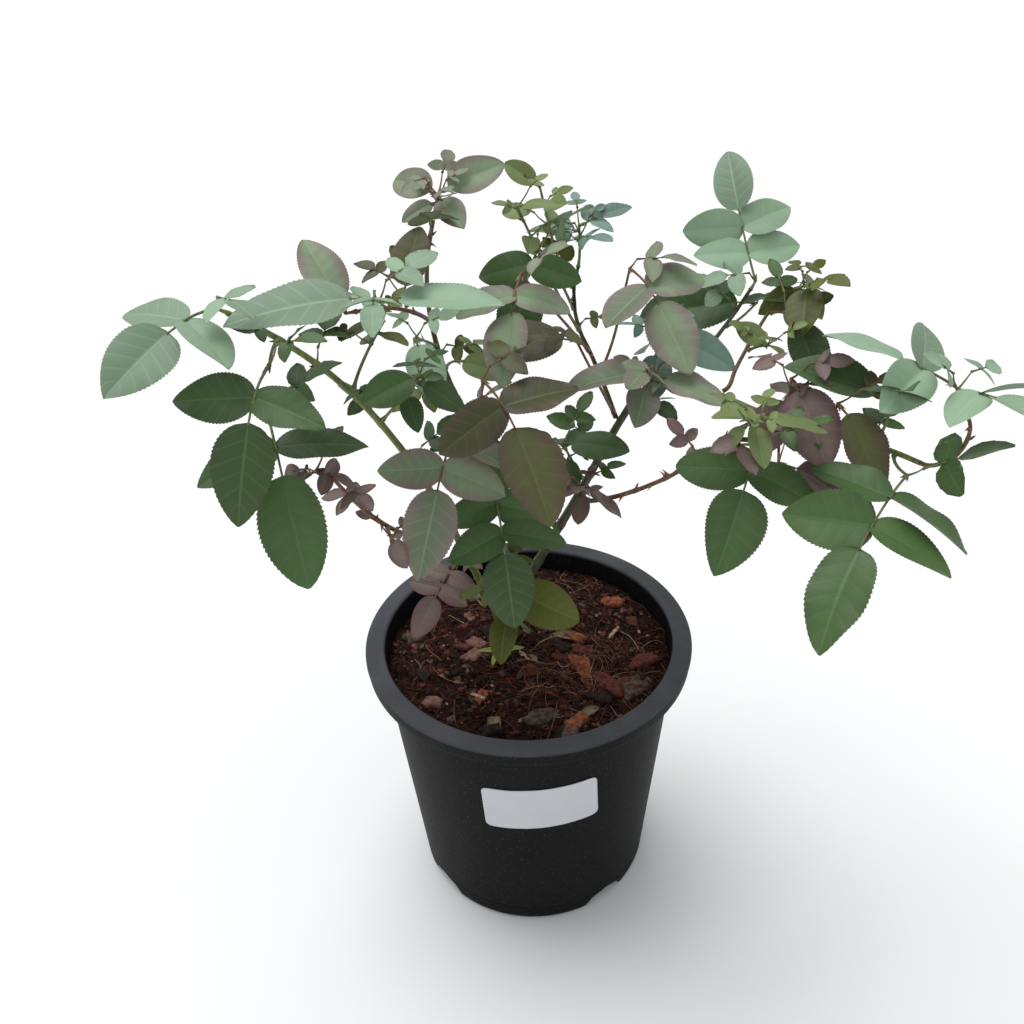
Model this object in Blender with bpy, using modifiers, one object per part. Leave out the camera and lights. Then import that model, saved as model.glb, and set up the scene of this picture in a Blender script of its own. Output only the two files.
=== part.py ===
"""A young rose bush in its round nursery pot.

The bush is three canes from one foot, their boughs, and masses of compound leaves that grow on them;
under it are the potting mix, the pot and a blank label. Units are metres with +Z up. The origin
is the middle of the pot's flat underside, +X runs along the wide spread of the bush and -Y is its front.
The design rows give places in millimetres, and directions as a heading (anticlockwise from +X in plan)
and a rise above the horizontal, both in degrees.
"""

import math
import random

import bmesh
import bpy
from mathutils import Matrix, Vector
from mathutils.bvhtree import BVHTree

MM = 0.001
GAP = 0.3 * MM                      # clear distance between neighbouring pieces
TURN_STEPS = 48                     # sides of the turned pieces

# Pot: a 200 mm nursery pot with a rolled rim and drainage notches round its foot.
RIM_RADIUS = 100 * MM
POT_HEIGHT = 178 * MM
RIM_DEPTH = 10 * MM
RIM_ROUND = 3 * MM
RIM_DRAFT = 0.6 * MM                # the rim is narrower by this at its lower edge
BODY_TOP_RADIUS = 90 * MM
FOOT_RADIUS = 75 * MM
FOOT_ROUND = 3 * MM
WALL = 1.8 * MM
FLOOR = 12 * MM                     # thick enough to hold the notches
NOTCHES = 4
NOTCH_WIDTH = 28 * MM
NOTCH_HEADING = 37                  # degrees round the pot of the first notch
NOTCH_HEIGHT = 9 * MM
NOTCH_DEPTH = 9 * MM

# Potting mix: a filled disc whose top is slightly domed.
SOIL_LEVEL = POT_HEIGHT - 12 * MM
SOIL_DOME = 2 * MM
SOIL_FLAT_RADIUS = 30 * MM          # the level middle, which the main stem stands on
SOIL_CLEARANCE = 0.5 * MM           # between the mix and the pot's wall

# Label: a blank white sticker that follows the wall.
LABEL_WIDTH = 69 * MM
LABEL_HEIGHT = 36 * MM
LABEL_CORNER = 4 * MM
LABEL_THICKNESS = 0.5 * MM
LABEL_MIDDLE_HEIGHT = 118 * MM
LABEL_HEADING = 273.0               # degrees round the pot, 270 is the front
LABEL_TILT = 3.0                    # degrees, its right end is higher
LABEL_STEPS = 12                    # strips across the label between its corners

# Main stem: where it stands on the mix, and how its foot flares: height (mm), share of its radius.
STEM_PLACE = Vector((-9 * MM, 12 * MM, SOIL_LEVEL + SOIL_DOME + GAP))
STEM_FLARE = ((0, 1.75), (2, 1.45), (5, 1.2), (9, 1.08), (15, 1))

# Limbs: name, what it grows from and at which share of that, length (mm), the headings and rises
# (degrees) that it turns through evenly, foot and tip diameters (mm).
LIMBS = (
    ("cane_main", None, 0, 184, ((-5, 76), (4, 62), (10, 60), (20, 60), (20, 58), (8, 6)), 6.4, 3.9),
    ("cane_left", "cane_main", 0.14, 280, ((204, 72), (210, 70), (222, 58), (212, 38)), 4.9, 2.7),
    ("cane_centre", "cane_main", 0.32, 222, ((180, 86), (172, 82), (166, 62), (128, 76), (46, 66)), 4.3, 2.2),
    ("bough_low_left", "cane_left", 0.34, 122, ((245, 20), (238, 46), (216, 64)), 3.0, 1.9),
    ("bough_centre_left", "cane_centre", 0.78, 62, ((255, 38), (235, 26), (228, 8)), 2.6, 1.8),
    ("bough_right", "cane_main", 1, 142, ((322, -8), (316, -4), (316, 8), (306, 0)), 3.6, 2.6),
    ("bough_right_tip", "bough_right", 1, 42, ((325, 10), (30, 60), (108, 18)), 2.4, 1.7),
    ("bough_top_right", "bough_right", 0.08, 60, ((34, 28), (36, 38), (40, 42)), 2.8, 2.0),
    ("bough_upper_right", "bough_right", 0.22, 76, ((54, 38), (46, 38), (40, 30)), 2.6, 1.6),
    ("bough_centre_top", "cane_main", 0.84, 92, ((112, 44), (122, 44), (66, 42)), 3.0, 1.9),
    ("bough_low_right", "cane_main", 0.62, 128, ((300, 28), (322, 38), (314, 54)), 3.0, 1.9),
)
LIMB_STEP = 13 * MM                 # length of a limb's straight facets
COLLAR_LEAN = 0.6                   # how far a shoot's foot leans along its parent
COLLAR_LENGTH = 1.5                 # straight length of a shoot's foot over its radius

# Foliage: name, limb that carries it and at which share, its stem's length (mm), heading and rise,
# its leaves: how many, heading and rise of the first, pairs of side leaflets, end leaflet (mm), tint.
FOLIAGE = (
    ("leaves_left_tip", "cane_left", 1, 5, (205, 30), 1, (242, -22), 1, 38, "sage"),
    ("leaves_left_big", "bough_centre_left", 0.85, 42, (272, 26), 2, (202, 12), 0, 55, "sage"),
    ("leaves_left_hanging", "cane_left", 0.90, 26, (276, 0), 1, (256, -42), 1, 42, "deep"),
    ("leaf_left_low", "cane_left", 0.82, 30, (228, -26), 1, (282, -48), 1, 50, "deep"),
    ("leaves_left_mid", "cane_left", 0.66, 38, (330, 50), 4, (215, -18), 0, 27, "deep"),
    ("leaves_left_inner", "cane_left", 0.72, 34, (40, 48), 3, (190, 0), 0, 19, "olive"),
    ("leaves_low_left", "bough_low_left", 1, 8, (210, -10), 2, (200, -15), 1, 15, "wine"),
    ("leaves_low_left_inner", "bough_low_left", 0.55, 10, (285, 5), 2, (285, -25), 0, 16, "wine"),
    ("leaf_over_rim", "cane_left", 0.28, 8, (245, 15), 1, (250, -34), 2, 24, "wine"),
    ("leaf_fore_left", "cane_centre", 0.58, 28, (276, 18), 1, (262, -46), 2, 44, "plum"),
    ("leaves_centre_low_left", "cane_centre", 0.70, 28, (252, 28), 2, (280, -42), 0, 30, "sage"),
    ("leaf_fore_centre", "cane_centre", 0.36, 36, (262, 44), 1, (276, -46), 2, 39, "deep"),
    ("leaves_fore_centre_left", "cane_centre", 0.44, 34, (252, 28), 3, (325, -18), 0, 28, "deep"),
    ("leaves_base", "cane_main", 0.08, 94, (268, 66), 4, (335, -14), 0, 36, "olive"),
    ("leaves_centre_side", "bough_centre_left", 1, 5, (230, 12), 1, (118, 54), 0, 36, "plum"),
    ("leaf_centre_up", "bough_centre_left", 0.45, 4, (110, 50), 1, (84, 60), 0, 32, "bronze"),
    ("leaves_centre_curl", "cane_centre", 0.66, 14, (300, 30), 1, (344, 4), 0, 27, "lime"),
    ("leaves_centre_top", "cane_centre", 1, 12, (60, 60), 5, (5, 8), 0, 31, "plum"),
    ("leaf_mid_left", "bough_centre_top", 0.50, 78, (226, 48), 1, (256, -50), 1, 38, "plum"),
    ("leaves_mid_low", "bough_centre_top", 0.14, 56, (208, 64), 1, (198, -2), 0, 40, "bronze"),
    ("leaf_mid_front", "cane_centre", 0.52, 68, (277, 50), 1, (290, -40), 1, 48, "bronze"),
    ("leaves_main_side", "cane_main", 0.66, 30, (214, 64), 3, (340, 6), 0, 32, "deep"),
    ("leaf_dark_centre", "bough_centre_top", 0.76, 46, (208, 66), 1, (244, -46), 1, 38, "deep"),
    ("leaves_top_left", "bough_centre_top", 0.62, 78, (150, 62), 5, (336, 8), 0, 21, "sage"),
    ("leaves_top_middle", "bough_centre_top", 0.92, 58, (122, 66), 3, (150, 25), 0, 20, "sage"),
    ("leaves_top_right", "bough_centre_top", 1, 22, (100, 80), 4, (20, 10), 1, 20, "blue"),
    ("leaf_mid_right", "bough_centre_top", 0.38, 58, (40, 74), 1, (290, -40), 1, 42, "plum"),
    ("leaf_right_green", "bough_top_right", 0.72, 32, (46, 14), 1, (174, 0), 0, 56, "deep"),
    ("leaves_right_centre", "cane_main", 0.96, 26, (50, 52), 3, (322, -16), 0, 36, "blue"),
    ("leaves_right_low", "cane_main", 0.90, 32, (306, 54), 4, (180, 4), 0, 42, "plum"),
    ("leaf_summit", "bough_top_right", 1, 4, (44, 46), 1, (104, 44), 2, 38, "sage"),
    ("leaves_upper_right_inner", "bough_upper_right", 0.45, 12, (310, 25), 3, (152, 25), 0, 17, "sage"),
    ("leaves_upper_right_tip", "bough_upper_right", 0.92, 14, (330, 34), 4, (258, -18), 0, 30, "olive"),
    ("leaves_upper_right_low", "bough_upper_right", 0.72, 14, (290, 0), 2, (284, -46), 0, 32, "deep"),
    ("leaves_wine_upper", "bough_right", 0.46, 32, (250, 66), 3, (296, -36), 0, 40, "wine"),
    ("leaves_wine_lower", "bough_right", 0.54, 34, (257, -6), 1, (336, -16), 0, 48, "wine"),
    ("leaves_rosette", "bough_low_right", 1, 16, (320, 34), 5, (350, 4), 0, 27, "lime"),
    ("leaf_right_hanging", "bough_low_right", 0.90, 20, (10, -6), 1, (236, -34), 1, 42, "deep"),
    ("leaves_new_red", "bough_low_right", 0.16, 22, (272, 44), 4, (184, -4), 0, 24, "wine"),
    ("leaves_right_tip", "bough_right_tip", 1, 8, (100, 22), 2, (150, 8), 1, 38, "sage"),
    ("leaves_right_green", "bough_right", 0.80, 20, (70, 62), 1, (170, 8), 0, 44, "deep"),
    ("leaf_lower_right", "bough_right", 0.92, 14, (288, -4), 1, (240, -34), 2, 50, "deep"),
    ("leaf_dark_hanging", "bough_right", 0.64, 26, (262, 58), 1, (304, -36), 0, 40, "bronze"),
)

# Rules that every leaf follows.
LIGHT = Vector((0, -0.35, 0.94))    # upper faces lean towards the light
LEAF_TURN = 144                     # degrees from a leaf to the next one down, two turns in five leaves
LEAFY_SHARE = 0.55                  # of the stem's length, from its tip down, carries the leaves
LEAF_SHRINK = 0.86                  # a leaf's size over that of the leaf above it
LEAF_DROOP = 8                      # degrees that a leaf hangs below the way of the leaf above it
STALK_RISE = 35                     # a stalk sets out halfway between this rise and its leaf's own
LONE_STALK = 0.22                   # stalk of a leaf with no pairs, over its blade's length
LEAF_STALK = 0.45                   # stalk below the first pair, over the end leaflet's length
PAIR_SPACING = 0.42                 # of the end leaflet's length
END_STALK = 0.30                    # of the end leaflet's length
SIDE_ANGLE = 78                     # degrees between the leaf's axis and a side leaflet
SIDE_SIZE = 0.82                    # a side leaflet's length over the end leaflet's
BLADE_WIDTH = (0.55, 0.70)          # width over length, narrowest and widest
BLADE_THICKNESS = 0.024             # thickness at the midrib over length
BLADE_STATIONS = ((0.24, 0.88), (0.64, 0.88))   # along the blade, share of the full half width
SMALL_STATIONS = ((0.42, 1.0),)
SMALL_LEAFLET = 24 * MM             # a shorter leaflet takes the simpler outline
BLADE_FOLD = 16                     # degrees that each half rises from the midrib
BLADE_CURL = 0.16                   # drop of the tip over length
ROOT_SUNK = 1.2 * MM                # a blade starts this far back inside its stalk
TURN_WOBBLE = 12                    # degrees, seeded by the mass's name
ROLL_WOBBLE = 28                    # degrees about the blade's own length
SIZE_WOBBLE = 0.10
STEM_RADII = (1.1 * MM, 0.8 * MM)
STALK_RADII = (0.85 * MM, 0.6 * MM)
TWIG_STEP = 16 * MM
STALK_STEP = 12 * MM
FLAT_ANGLE = 0.01                   # radians, faces nearer to level than this are one face

TINTS = {
    "sage": (0.30, 0.42, 0.30), "blue": (0.20, 0.33, 0.27), "deep": (0.07, 0.15, 0.08),
    "plum": (0.28, 0.30, 0.26), "wine": (0.17, 0.09, 0.10), "bronze": (0.10, 0.08, 0.05),
    "lime": (0.32, 0.45, 0.14), "olive": (0.28, 0.30, 0.10),
}


def clear_scene():
    """Removes every object of the file that the script runs in."""
    for obj in list(bpy.data.objects):
        bpy.data.objects.remove(obj)


def new_collection(name):
    collection = bpy.data.collections.new(name)
    bpy.context.scene.collection.children.link(collection)
    return collection


def material(name, colour, roughness):
    made = bpy.data.materials.new(name)
    made.use_nodes = True
    shader = made.node_tree.nodes["Principled BSDF"]
    shader.inputs["Base Color"].default_value = (*colour, 1)
    shader.inputs["Roughness"].default_value = roughness
    return made


def add_object(name, data, collection, finish=None):
    obj = bpy.data.objects.new(name, data)
    collection.objects.link(obj)
    if finish:
        data.materials.append(finish)
    return obj


# ---- curves and directions -------------------------------------------------------------------

def heading_rise(heading, rise):
    """The unit vector of a heading in plan and a rise above the horizontal, both in degrees."""
    flat = math.cos(math.radians(rise))
    turn = math.radians(heading)
    return Vector((flat * math.cos(turn), flat * math.sin(turn), math.sin(math.radians(rise))))


def square_to(vector, axis):
    """The unit part of a vector that is square to a unit axis."""
    return (vector - axis * vector.dot(axis)).normalized()


def swept_route(start, length, ways, step, fewest=1):
    """Points along a shoot that sets out the first way and turns evenly through the others."""
    count = max(fewest, round(length / step))
    route = [start]
    for i in range(count):
        place = (i + 0.5) / count * (len(ways) - 1)
        turn = min(int(place), len(ways) - 2)
        way = ways[turn].lerp(ways[turn + 1], place - turn).normalized()
        route.append(route[-1] + way * (length / count))
    return route


def tapering(route, radii):
    """One radius for each point of a route, from the foot's to the tip's."""
    last = len(route) - 1
    return [radii[0] + (radii[1] - radii[0]) * i / last for i in range(last + 1)]


def seat(limb, share, way, foot):
    """Where a shoot of the given foot radius leaves a limb: its start, its collar and its first way.

    From the limb's tip it goes straight on. From its side it leans along the limb, and starts far
    enough out for its tilted foot to clear the skin.
    """
    route, radii = limb
    last = len(route) - 1
    nearest = round(share * last)
    along = (route[min(nearest + 1, last)] - route[max(nearest - 1, 0)]).normalized()
    if nearest == last:
        start, lean = route[-1] + along * GAP, along
    else:
        out = square_to(way, along)
        lean = (out + along * COLLAR_LEAN).normalized()
        start = route[nearest] + out * (radii[nearest] + GAP + foot * lean.dot(along))
    return start, start + lean * foot * COLLAR_LENGTH, lean


# ---- pot, potting mix and label --------------------------------------------------------------

def wall_radius(height):
    """Outer radius of the pot's tapering body at a height."""
    top = POT_HEIGHT - RIM_DEPTH
    return FOOT_RADIUS + (BODY_TOP_RADIUS - FOOT_RADIUS) * height / top


def turned(name, profile, collection, finish):
    """A turned solid: the profile runs from the axis, down its outer side and back to the axis."""
    mesh = bpy.data.meshes.new(name)
    edges = [(i, i + 1) for i in range(len(profile) - 1)]
    mesh.from_pydata([(radius, 0, height) for radius, height in profile], edges, [])
    obj = add_object(name, mesh, collection, finish)
    screw = obj.modifiers.new("turn", "SCREW")
    screw.steps = screw.render_steps = TURN_STEPS
    screw.use_merge_vertices = True
    screw.merge_threshold = 0.00001
    return obj


def arc(middle, radius, start, end, steps):
    """Points of an arc in the profile's plane, from one angle to another in degrees."""
    angles = [math.radians(start + (end - start) * i / steps) for i in range(steps + 1)]
    return [(middle[0] + radius * math.cos(a), middle[1] + radius * math.sin(a)) for a in angles]


def make_pot(collection, cutters):
    rim_foot = POT_HEIGHT - RIM_DEPTH
    inner_top = wall_radius(rim_foot) - WALL
    inner_floor = wall_radius(FLOOR) - WALL
    lip = (RIM_RADIUS - RIM_ROUND, POT_HEIGHT - RIM_ROUND)
    shoulder = (BODY_TOP_RADIUS + RIM_ROUND - WALL, POT_HEIGHT - RIM_ROUND)
    foot = (FOOT_RADIUS - FOOT_ROUND, FOOT_ROUND)
    profile = [(0, FLOOR), (inner_floor, FLOOR), (inner_top, rim_foot)]
    profile += arc(shoulder, RIM_ROUND, 180, 90, 3)
    profile += arc(lip, RIM_ROUND, 90, 0, 3)
    profile += [(RIM_RADIUS - RIM_DRAFT, rim_foot), (BODY_TOP_RADIUS, rim_foot)]
    profile += arc(foot, FOOT_ROUND, 0, -90, 3)
    profile += [(0, 0)]
    pot = turned("pot", profile, collection, material("pot plastic", (0.018, 0.019, 0.022), 0.45))
    for i in range(NOTCHES):
        add_notch(pot, math.radians(NOTCH_HEADING) + math.tau * i / NOTCHES, cutters)
    return pot


def add_notch(pot, turn, cutters):
    """Cuts one drainage notch out of the foot's corner."""
    bpy.ops.mesh.primitive_cube_add(size=1)
    cutter = bpy.context.object
    cutter.name = "notch cutter"
    cutter.scale = (2 * NOTCH_DEPTH, NOTCH_WIDTH, 2 * NOTCH_HEIGHT)
    cutter.rotation_euler = (0, 0, turn)
    cutter.location = (FOOT_RADIUS * math.cos(turn), FOOT_RADIUS * math.sin(turn), 0)
    for owner in list(cutter.users_collection):
        owner.objects.unlink(cutter)
    cutters.objects.link(cutter)
    cutter.hide_render = True
    cutter.display_type = "WIRE"
    cut = pot.modifiers.new("notch", "BOOLEAN")
    cut.operation = "DIFFERENCE"
    cut.object = cutter


def make_soil(collection):
    """The potting mix: it fills the pot up to the soil level, clear of the wall."""
    bottom = FLOOR + GAP
    profile = [
        (0, SOIL_LEVEL + SOIL_DOME),
        (SOIL_FLAT_RADIUS, SOIL_LEVEL + SOIL_DOME),
        (wall_radius(SOIL_LEVEL) - WALL - SOIL_CLEARANCE, SOIL_LEVEL - SOIL_DOME),
        (wall_radius(bottom) - WALL - SOIL_CLEARANCE, bottom),
        (0, bottom),
    ]
    return turned("potting_mix", profile, collection, material("potting mix", (0.07, 0.035, 0.022), 0.95))


def label_columns():
    """Places across the label: even along its middle, closer together round its corners."""
    inner = LABEL_WIDTH / 2 - LABEL_CORNER
    corner = [inner + LABEL_CORNER * math.sin(math.radians(turn)) for turn in (30, 60, 90)]
    middle = [inner * (2 * i / LABEL_STEPS - 1) for i in range(LABEL_STEPS + 1)]
    return [-place for place in reversed(corner)] + middle + corner


def make_label(collection):
    """A thin sticker bent round the wall, with rounded corners."""
    columns = label_columns()
    tilt = math.radians(LABEL_TILT)
    points = []
    for along in columns:
        past = max(0, abs(along) - (LABEL_WIDTH / 2 - LABEL_CORNER))
        half = LABEL_HEIGHT / 2 - LABEL_CORNER + math.sqrt(max(0, LABEL_CORNER**2 - past**2))
        for up in (-half, half):
            across = along * math.cos(tilt) - up * math.sin(tilt)
            height = LABEL_MIDDLE_HEIGHT + along * math.sin(tilt) + up * math.cos(tilt)
            radius = wall_radius(height) + GAP
            turn = math.radians(LABEL_HEADING) + across / radius
            points.append((radius * math.cos(turn), radius * math.sin(turn), height))
    faces = [(2 * i, 2 * i + 2, 2 * i + 3, 2 * i + 1) for i in range(len(columns) - 1)]
    mesh = bpy.data.meshes.new("label")
    mesh.from_pydata(points, [], faces)
    label = add_object("label", mesh, collection, material("label paper", (0.82, 0.82, 0.80), 0.5))
    shell = label.modifiers.new("thickness", "SOLIDIFY")
    shell.thickness = LABEL_THICKNESS
    shell.offset = 1
    return label


# ---- canes and boughs ------------------------------------------------------------------------

def tube(name, route, radii, collection, finish):
    """A solid tapering limb: a bevelled curve with closed ends."""
    curve = bpy.data.curves.new(name, "CURVE")
    curve.dimensions = "3D"
    curve.bevel_depth = radii[0]
    curve.bevel_resolution = 2
    curve.use_fill_caps = True
    spline = curve.splines.new("POLY")
    spline.points.add(len(route) - 1)
    for point, place, radius in zip(spline.points, route, radii):
        point.co = (*place, 1)
        point.radius = radius / radii[0]
    return add_object(name, curve, collection, finish)


def main_stem(length, ways, foot, tip):
    """The main stem's route and radii: it flares to a foot that is cut flat on the mix."""
    base = [STEM_PLACE + Vector((0, 0, height * MM)) for height, _ in STEM_FLARE]
    route = base[:-1] + swept_route(base[-1], length, ways, LIMB_STEP)
    radii = tapering(route, (foot, tip))
    for i, (_, share) in enumerate(STEM_FLARE):
        radii[i] *= share
    return route, radii


def grow_limbs():
    """The route and radii of every limb, by name."""
    limbs = {}
    for name, parent, share, length, turns, foot, tip in LIMBS:
        length *= MM
        ways = [heading_rise(*turn) for turn in turns]
        foot, tip = foot / 2 * MM, tip / 2 * MM
        if parent is None:
            limbs[name] = main_stem(length, ways, foot, tip)
            continue
        start, collar, _ = seat(limbs[parent], share, ways[0], foot)
        route = [start] + swept_route(collar, length, ways, LIMB_STEP)
        limbs[name] = (route, tapering(route, (foot, tip)))
    return limbs


# ---- leaves ----------------------------------------------------------------------------------

def stem_of(row, limbs):
    """The route of a mass's stem: it leaves its limb's collar and turns to its own way."""
    _, limb, share, length, turn, *_ = row
    way = heading_rise(*turn)
    start, collar, lean = seat(limbs[limb], share, way, STEM_RADII[0])
    return [start] + swept_route(collar, length * MM, (lean, way, way), TWIG_STEP, 2)


def leaves_of(row, stem):
    """The mass's leaves, from its tip down: each one's stalk route, and its leaflets.

    They share the leafy part of the stem evenly. Each sits two fifths of a turn round from the one
    above it, and is a little smaller and lower.
    """
    name, _, _, reach, _, count, (heading, rise), pairs, length, _ = row
    spacing = reach * MM * LEAFY_SHARE / count
    chance = random.Random(name)
    leaves = []
    for i in range(count):
        node, _ = back_along(stem, i * spacing)
        turn = heading + i * LEAF_TURN + wobble(chance, TURN_WOBBLE)
        slope = rise - i * LEAF_DROOP + wobble(chance, TURN_WOBBLE)
        size = length * MM * LEAF_SHRINK**i
        leaves.append(leaf_plan(node, turn, slope, pairs, size, chance))
    return leaves


def leaf_plan(node, heading, rise, pairs, length, chance):
    """One leaf's stalk route, and its leaflets as (base, direction, normal, length, width).

    The stalk bends to the leaf's own way, and side leaflets face each other in pairs below the
    end leaflet.
    """
    end_way = heading_rise(heading, rise)
    first_way = heading_rise(heading, (rise + STALK_RISE) / 2)
    reach = LEAF_STALK + (pairs - 1) * PAIR_SPACING + END_STALK if pairs else LONE_STALK
    stalk = swept_route(node, length * reach, (first_way, end_way), STALK_STEP)
    leaflets = []
    for i in range(pairs):
        place, axis = back_along(stalk, (END_STALK + i * PAIR_SPACING) * length)
        leaflets += pair_plan(place, axis, length * SIDE_SIZE, chance)
    leaflets.append(leaflet_plan(stalk[-1], end_way, upper_side(end_way), length, chance))
    return stalk, leaflets


def pair_plan(place, axis, length, chance):
    """Two leaflets that face each other across a leaf's axis."""
    normal = upper_side(axis)
    pair = []
    for hand in (1, -1):
        angle = math.radians(SIDE_ANGLE + wobble(chance, TURN_WOBBLE))
        out = (axis * math.cos(angle) + normal.cross(axis) * (hand * math.sin(angle))).normalized()
        size = length * (1 + wobble(chance, SIZE_WOBBLE))
        pair.append(leaflet_plan(place, out, square_to(normal, out), size, chance))
    return pair


def leaflet_plan(base, way, normal, length, chance):
    """A leaflet, rolled about its own length by the mass's seed."""
    turned = Matrix.Rotation(math.radians(wobble(chance, ROLL_WOBBLE)), 3, way) @ normal
    return base, way, turned, length, length * chance.uniform(*BLADE_WIDTH)


def wobble(chance, most):
    return chance.uniform(-most, most)


def upper_side(axis):
    """The direction that a leaf's upper face looks: square to its axis, towards the light."""
    return square_to(LIGHT, axis)


def back_along(route, distance):
    """The point that lies a distance back from a route's end, and the route's direction there."""
    for behind, ahead in zip(route[-2::-1], route[:0:-1]):
        span = (ahead - behind).length
        if distance <= span or behind is route[0]:
            way = (ahead - behind).normalized()
            return ahead - way * min(distance, span), way
        distance -= span


def blade_mesh(name, leaflet):
    """A leaflet: a pointed oval folded along its midrib, curling down, thick in the middle."""
    base, way, normal, length, width = leaflet
    side = normal.cross(way)
    stations = BLADE_STATIONS if length > SMALL_LEAFLET else SMALL_STATIONS
    fold = math.radians(BLADE_FOLD)
    half_thick = length * BLADE_THICKNESS / 2
    mesh = bmesh.new()

    def vertex(along, across, lift):
        drop = length * BLADE_CURL * along**2
        place = base - way * ROOT_SUNK + way * (along * (length + ROOT_SUNK))
        return mesh.verts.new(place + side * across + normal * (lift - drop))

    root, tip = vertex(0, 0, 0), vertex(1, 0, 0)
    ribs = {hand: [root] + [vertex(u, 0, hand * half_thick) for u, _ in stations] + [tip]
            for hand in (1, -1)}
    for hand in (1, -1):
        edge = [root]
        for u, share in stations:
            reach = width / 2 * share
            edge.append(vertex(u, hand * reach * math.cos(fold), reach * math.sin(fold)))
        edge.append(tip)
        for face in (1, -1):
            rib = ribs[face]
            for i in range(len(edge) - 1):
                corners = [rib[i], rib[i + 1], edge[i + 1], edge[i]]
                corners = [c for k, c in enumerate(corners) if c is not corners[k - 1]]
                mesh.faces.new(corners if hand * face < 0 else corners[::-1])
    bmesh.ops.triangulate(mesh, faces=mesh.faces[:])
    made = bpy.data.meshes.new(name)
    mesh.to_mesh(made)
    mesh.free()
    return made


def twig_mesh(name, route, radii):
    """A three-sided tapering twig with closed ends."""
    mesh = bmesh.new()
    rings = []
    across = (route[1] - route[0]).orthogonal()
    turns = [math.tau * k / 3 for k in range(3)]
    for i, (place, radius) in enumerate(zip(route, tapering(route, radii))):
        way = (route[min(i + 1, len(route) - 1)] - route[max(i - 1, 0)]).normalized()
        across = square_to(across, way)
        other = way.cross(across)
        rings.append([mesh.verts.new(place + (across * math.cos(turn) + other * math.sin(turn)) * radius)
                      for turn in turns])
    for low, high in zip(rings, rings[1:]):
        for k in range(3):
            mesh.faces.new((low[k], low[(k + 1) % 3], high[(k + 1) % 3], high[k]))
    mesh.faces.new(rings[0][::-1])
    mesh.faces.new(rings[-1])
    bmesh.ops.triangulate(mesh, faces=mesh.faces[:])
    made = bpy.data.meshes.new(name)
    mesh.to_mesh(made)
    mesh.free()
    return made


def tree_of(mesh):
    """A search tree of a mesh's triangles, for finding what touches it."""
    mesh.calc_loop_triangles()
    corners = [vertex.co[:] for vertex in mesh.vertices]
    return BVHTree.FromPolygons(corners, [face.vertices[:] for face in mesh.loop_triangles])


def touches(mesh, others):
    tree = tree_of(mesh)
    return any(tree.overlap(other) for other in others)


def grow_mass(row, limbs, taken, collection):
    """One mass of foliage, fused to a single solid. What would touch a neighbour is left out."""
    name, tint = row[0], row[-1]
    stem = stem_of(row, limbs)
    pieces = [twig_mesh(name + " stem", stem, STEM_RADII)]
    for count, (route, leaflets) in enumerate(leaves_of(row, stem), 1):
        stalk = twig_mesh(name + " stalk", route, STALK_RADII)
        blades = [blade_mesh(name + " blade", leaflet) for leaflet in leaflets]
        clear = [blade for blade in blades if not touches(blade, taken)]
        if touches(stalk, taken) or not clear:
            print(name, "leaves out leaf", count)
            continue
        if len(clear) < len(blades):
            print(name, "leaves out part of leaf", count)
        pieces += [stalk, *clear]
    return fuse(name, pieces, collection, material(name, TINTS[tint], 0.55))


def fuse(name, pieces, collection, finish):
    """Joins closed meshes into one solid with a Boolean union, and drops any loose scrap."""
    extras = new_collection(name + " pieces")
    body = add_object(name + " body", pieces[0], collection)
    for piece in pieces[1:]:
        add_object(piece.name, piece, extras)
    union = body.modifiers.new("union", "BOOLEAN")
    union.operation = "UNION"
    union.operand_type = "COLLECTION"
    union.collection = extras
    union.solver = "EXACT"
    graph = bpy.context.evaluated_depsgraph_get()
    mesh = bpy.data.meshes.new_from_object(body.evaluated_get(graph))
    for piece in list(extras.objects):
        bpy.data.objects.remove(piece)
    bpy.data.collections.remove(extras)
    bpy.data.objects.remove(body)
    keep_largest(mesh)
    mesh.materials.clear()
    mesh.name = name
    return add_object(name, mesh, collection, finish)


def keep_largest(mesh):
    """Joins a mesh's level faces and keeps only its largest connected body."""
    work = bmesh.new()
    work.from_mesh(mesh)
    bmesh.ops.dissolve_limit(work, angle_limit=FLAT_ANGLE, verts=work.verts[:], edges=work.edges[:])
    bmesh.ops.triangulate(work, faces=work.faces[:])
    left = set(work.verts)
    bodies = []
    while left:
        front = [left.pop()]
        body = set(front)
        while front:
            reached = {vertex for edge in front.pop().link_edges for vertex in edge.verts} & left
            left -= reached
            body |= reached
            front += reached
        bodies.append(body)
    bodies.sort(key=len)
    for body in bodies[:-1]:
        bmesh.ops.delete(work, geom=list(body), context="VERTS")
    work.to_mesh(mesh)
    work.free()


def main():
    clear_scene()
    bush = new_collection("potted rose bush")
    cutters = new_collection("cutters")
    make_pot(bush, cutters)
    make_soil(bush)
    make_label(bush)

    limbs = grow_limbs()
    bark = material("bark", (0.16, 0.20, 0.07), 0.6)
    taken = []
    for name, (route, radii) in limbs.items():
        limb = tube(name, route, radii, bush, bark)
        graph = bpy.context.evaluated_depsgraph_get()
        taken.append(tree_of(bpy.data.meshes.new_from_object(limb.evaluated_get(graph))))
    for row in FOLIAGE:
        mass = grow_mass(row, limbs, taken, bush)
        taken.append(tree_of(mass.data))


main()
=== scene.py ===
# %% [markdown]
# # A young rose bush in its nursery pot
#
# The construction is already packed as solids: a pot full of potting mix, a blank label, three
# canes with their boughs, and masses of leaves as plain faceted blades. This lesson grows the fine
# surfaces round them, from the soil up: bark relief, prickles, and leaves with teeth, veins and a
# bent midrib. Everything is in metres with +Z up, and a piece goes where its solid is, so nothing
# is fitted by eye.

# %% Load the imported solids
import math
import random

import bpy
import numpy as np
from mathutils import Matrix, Vector


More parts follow.
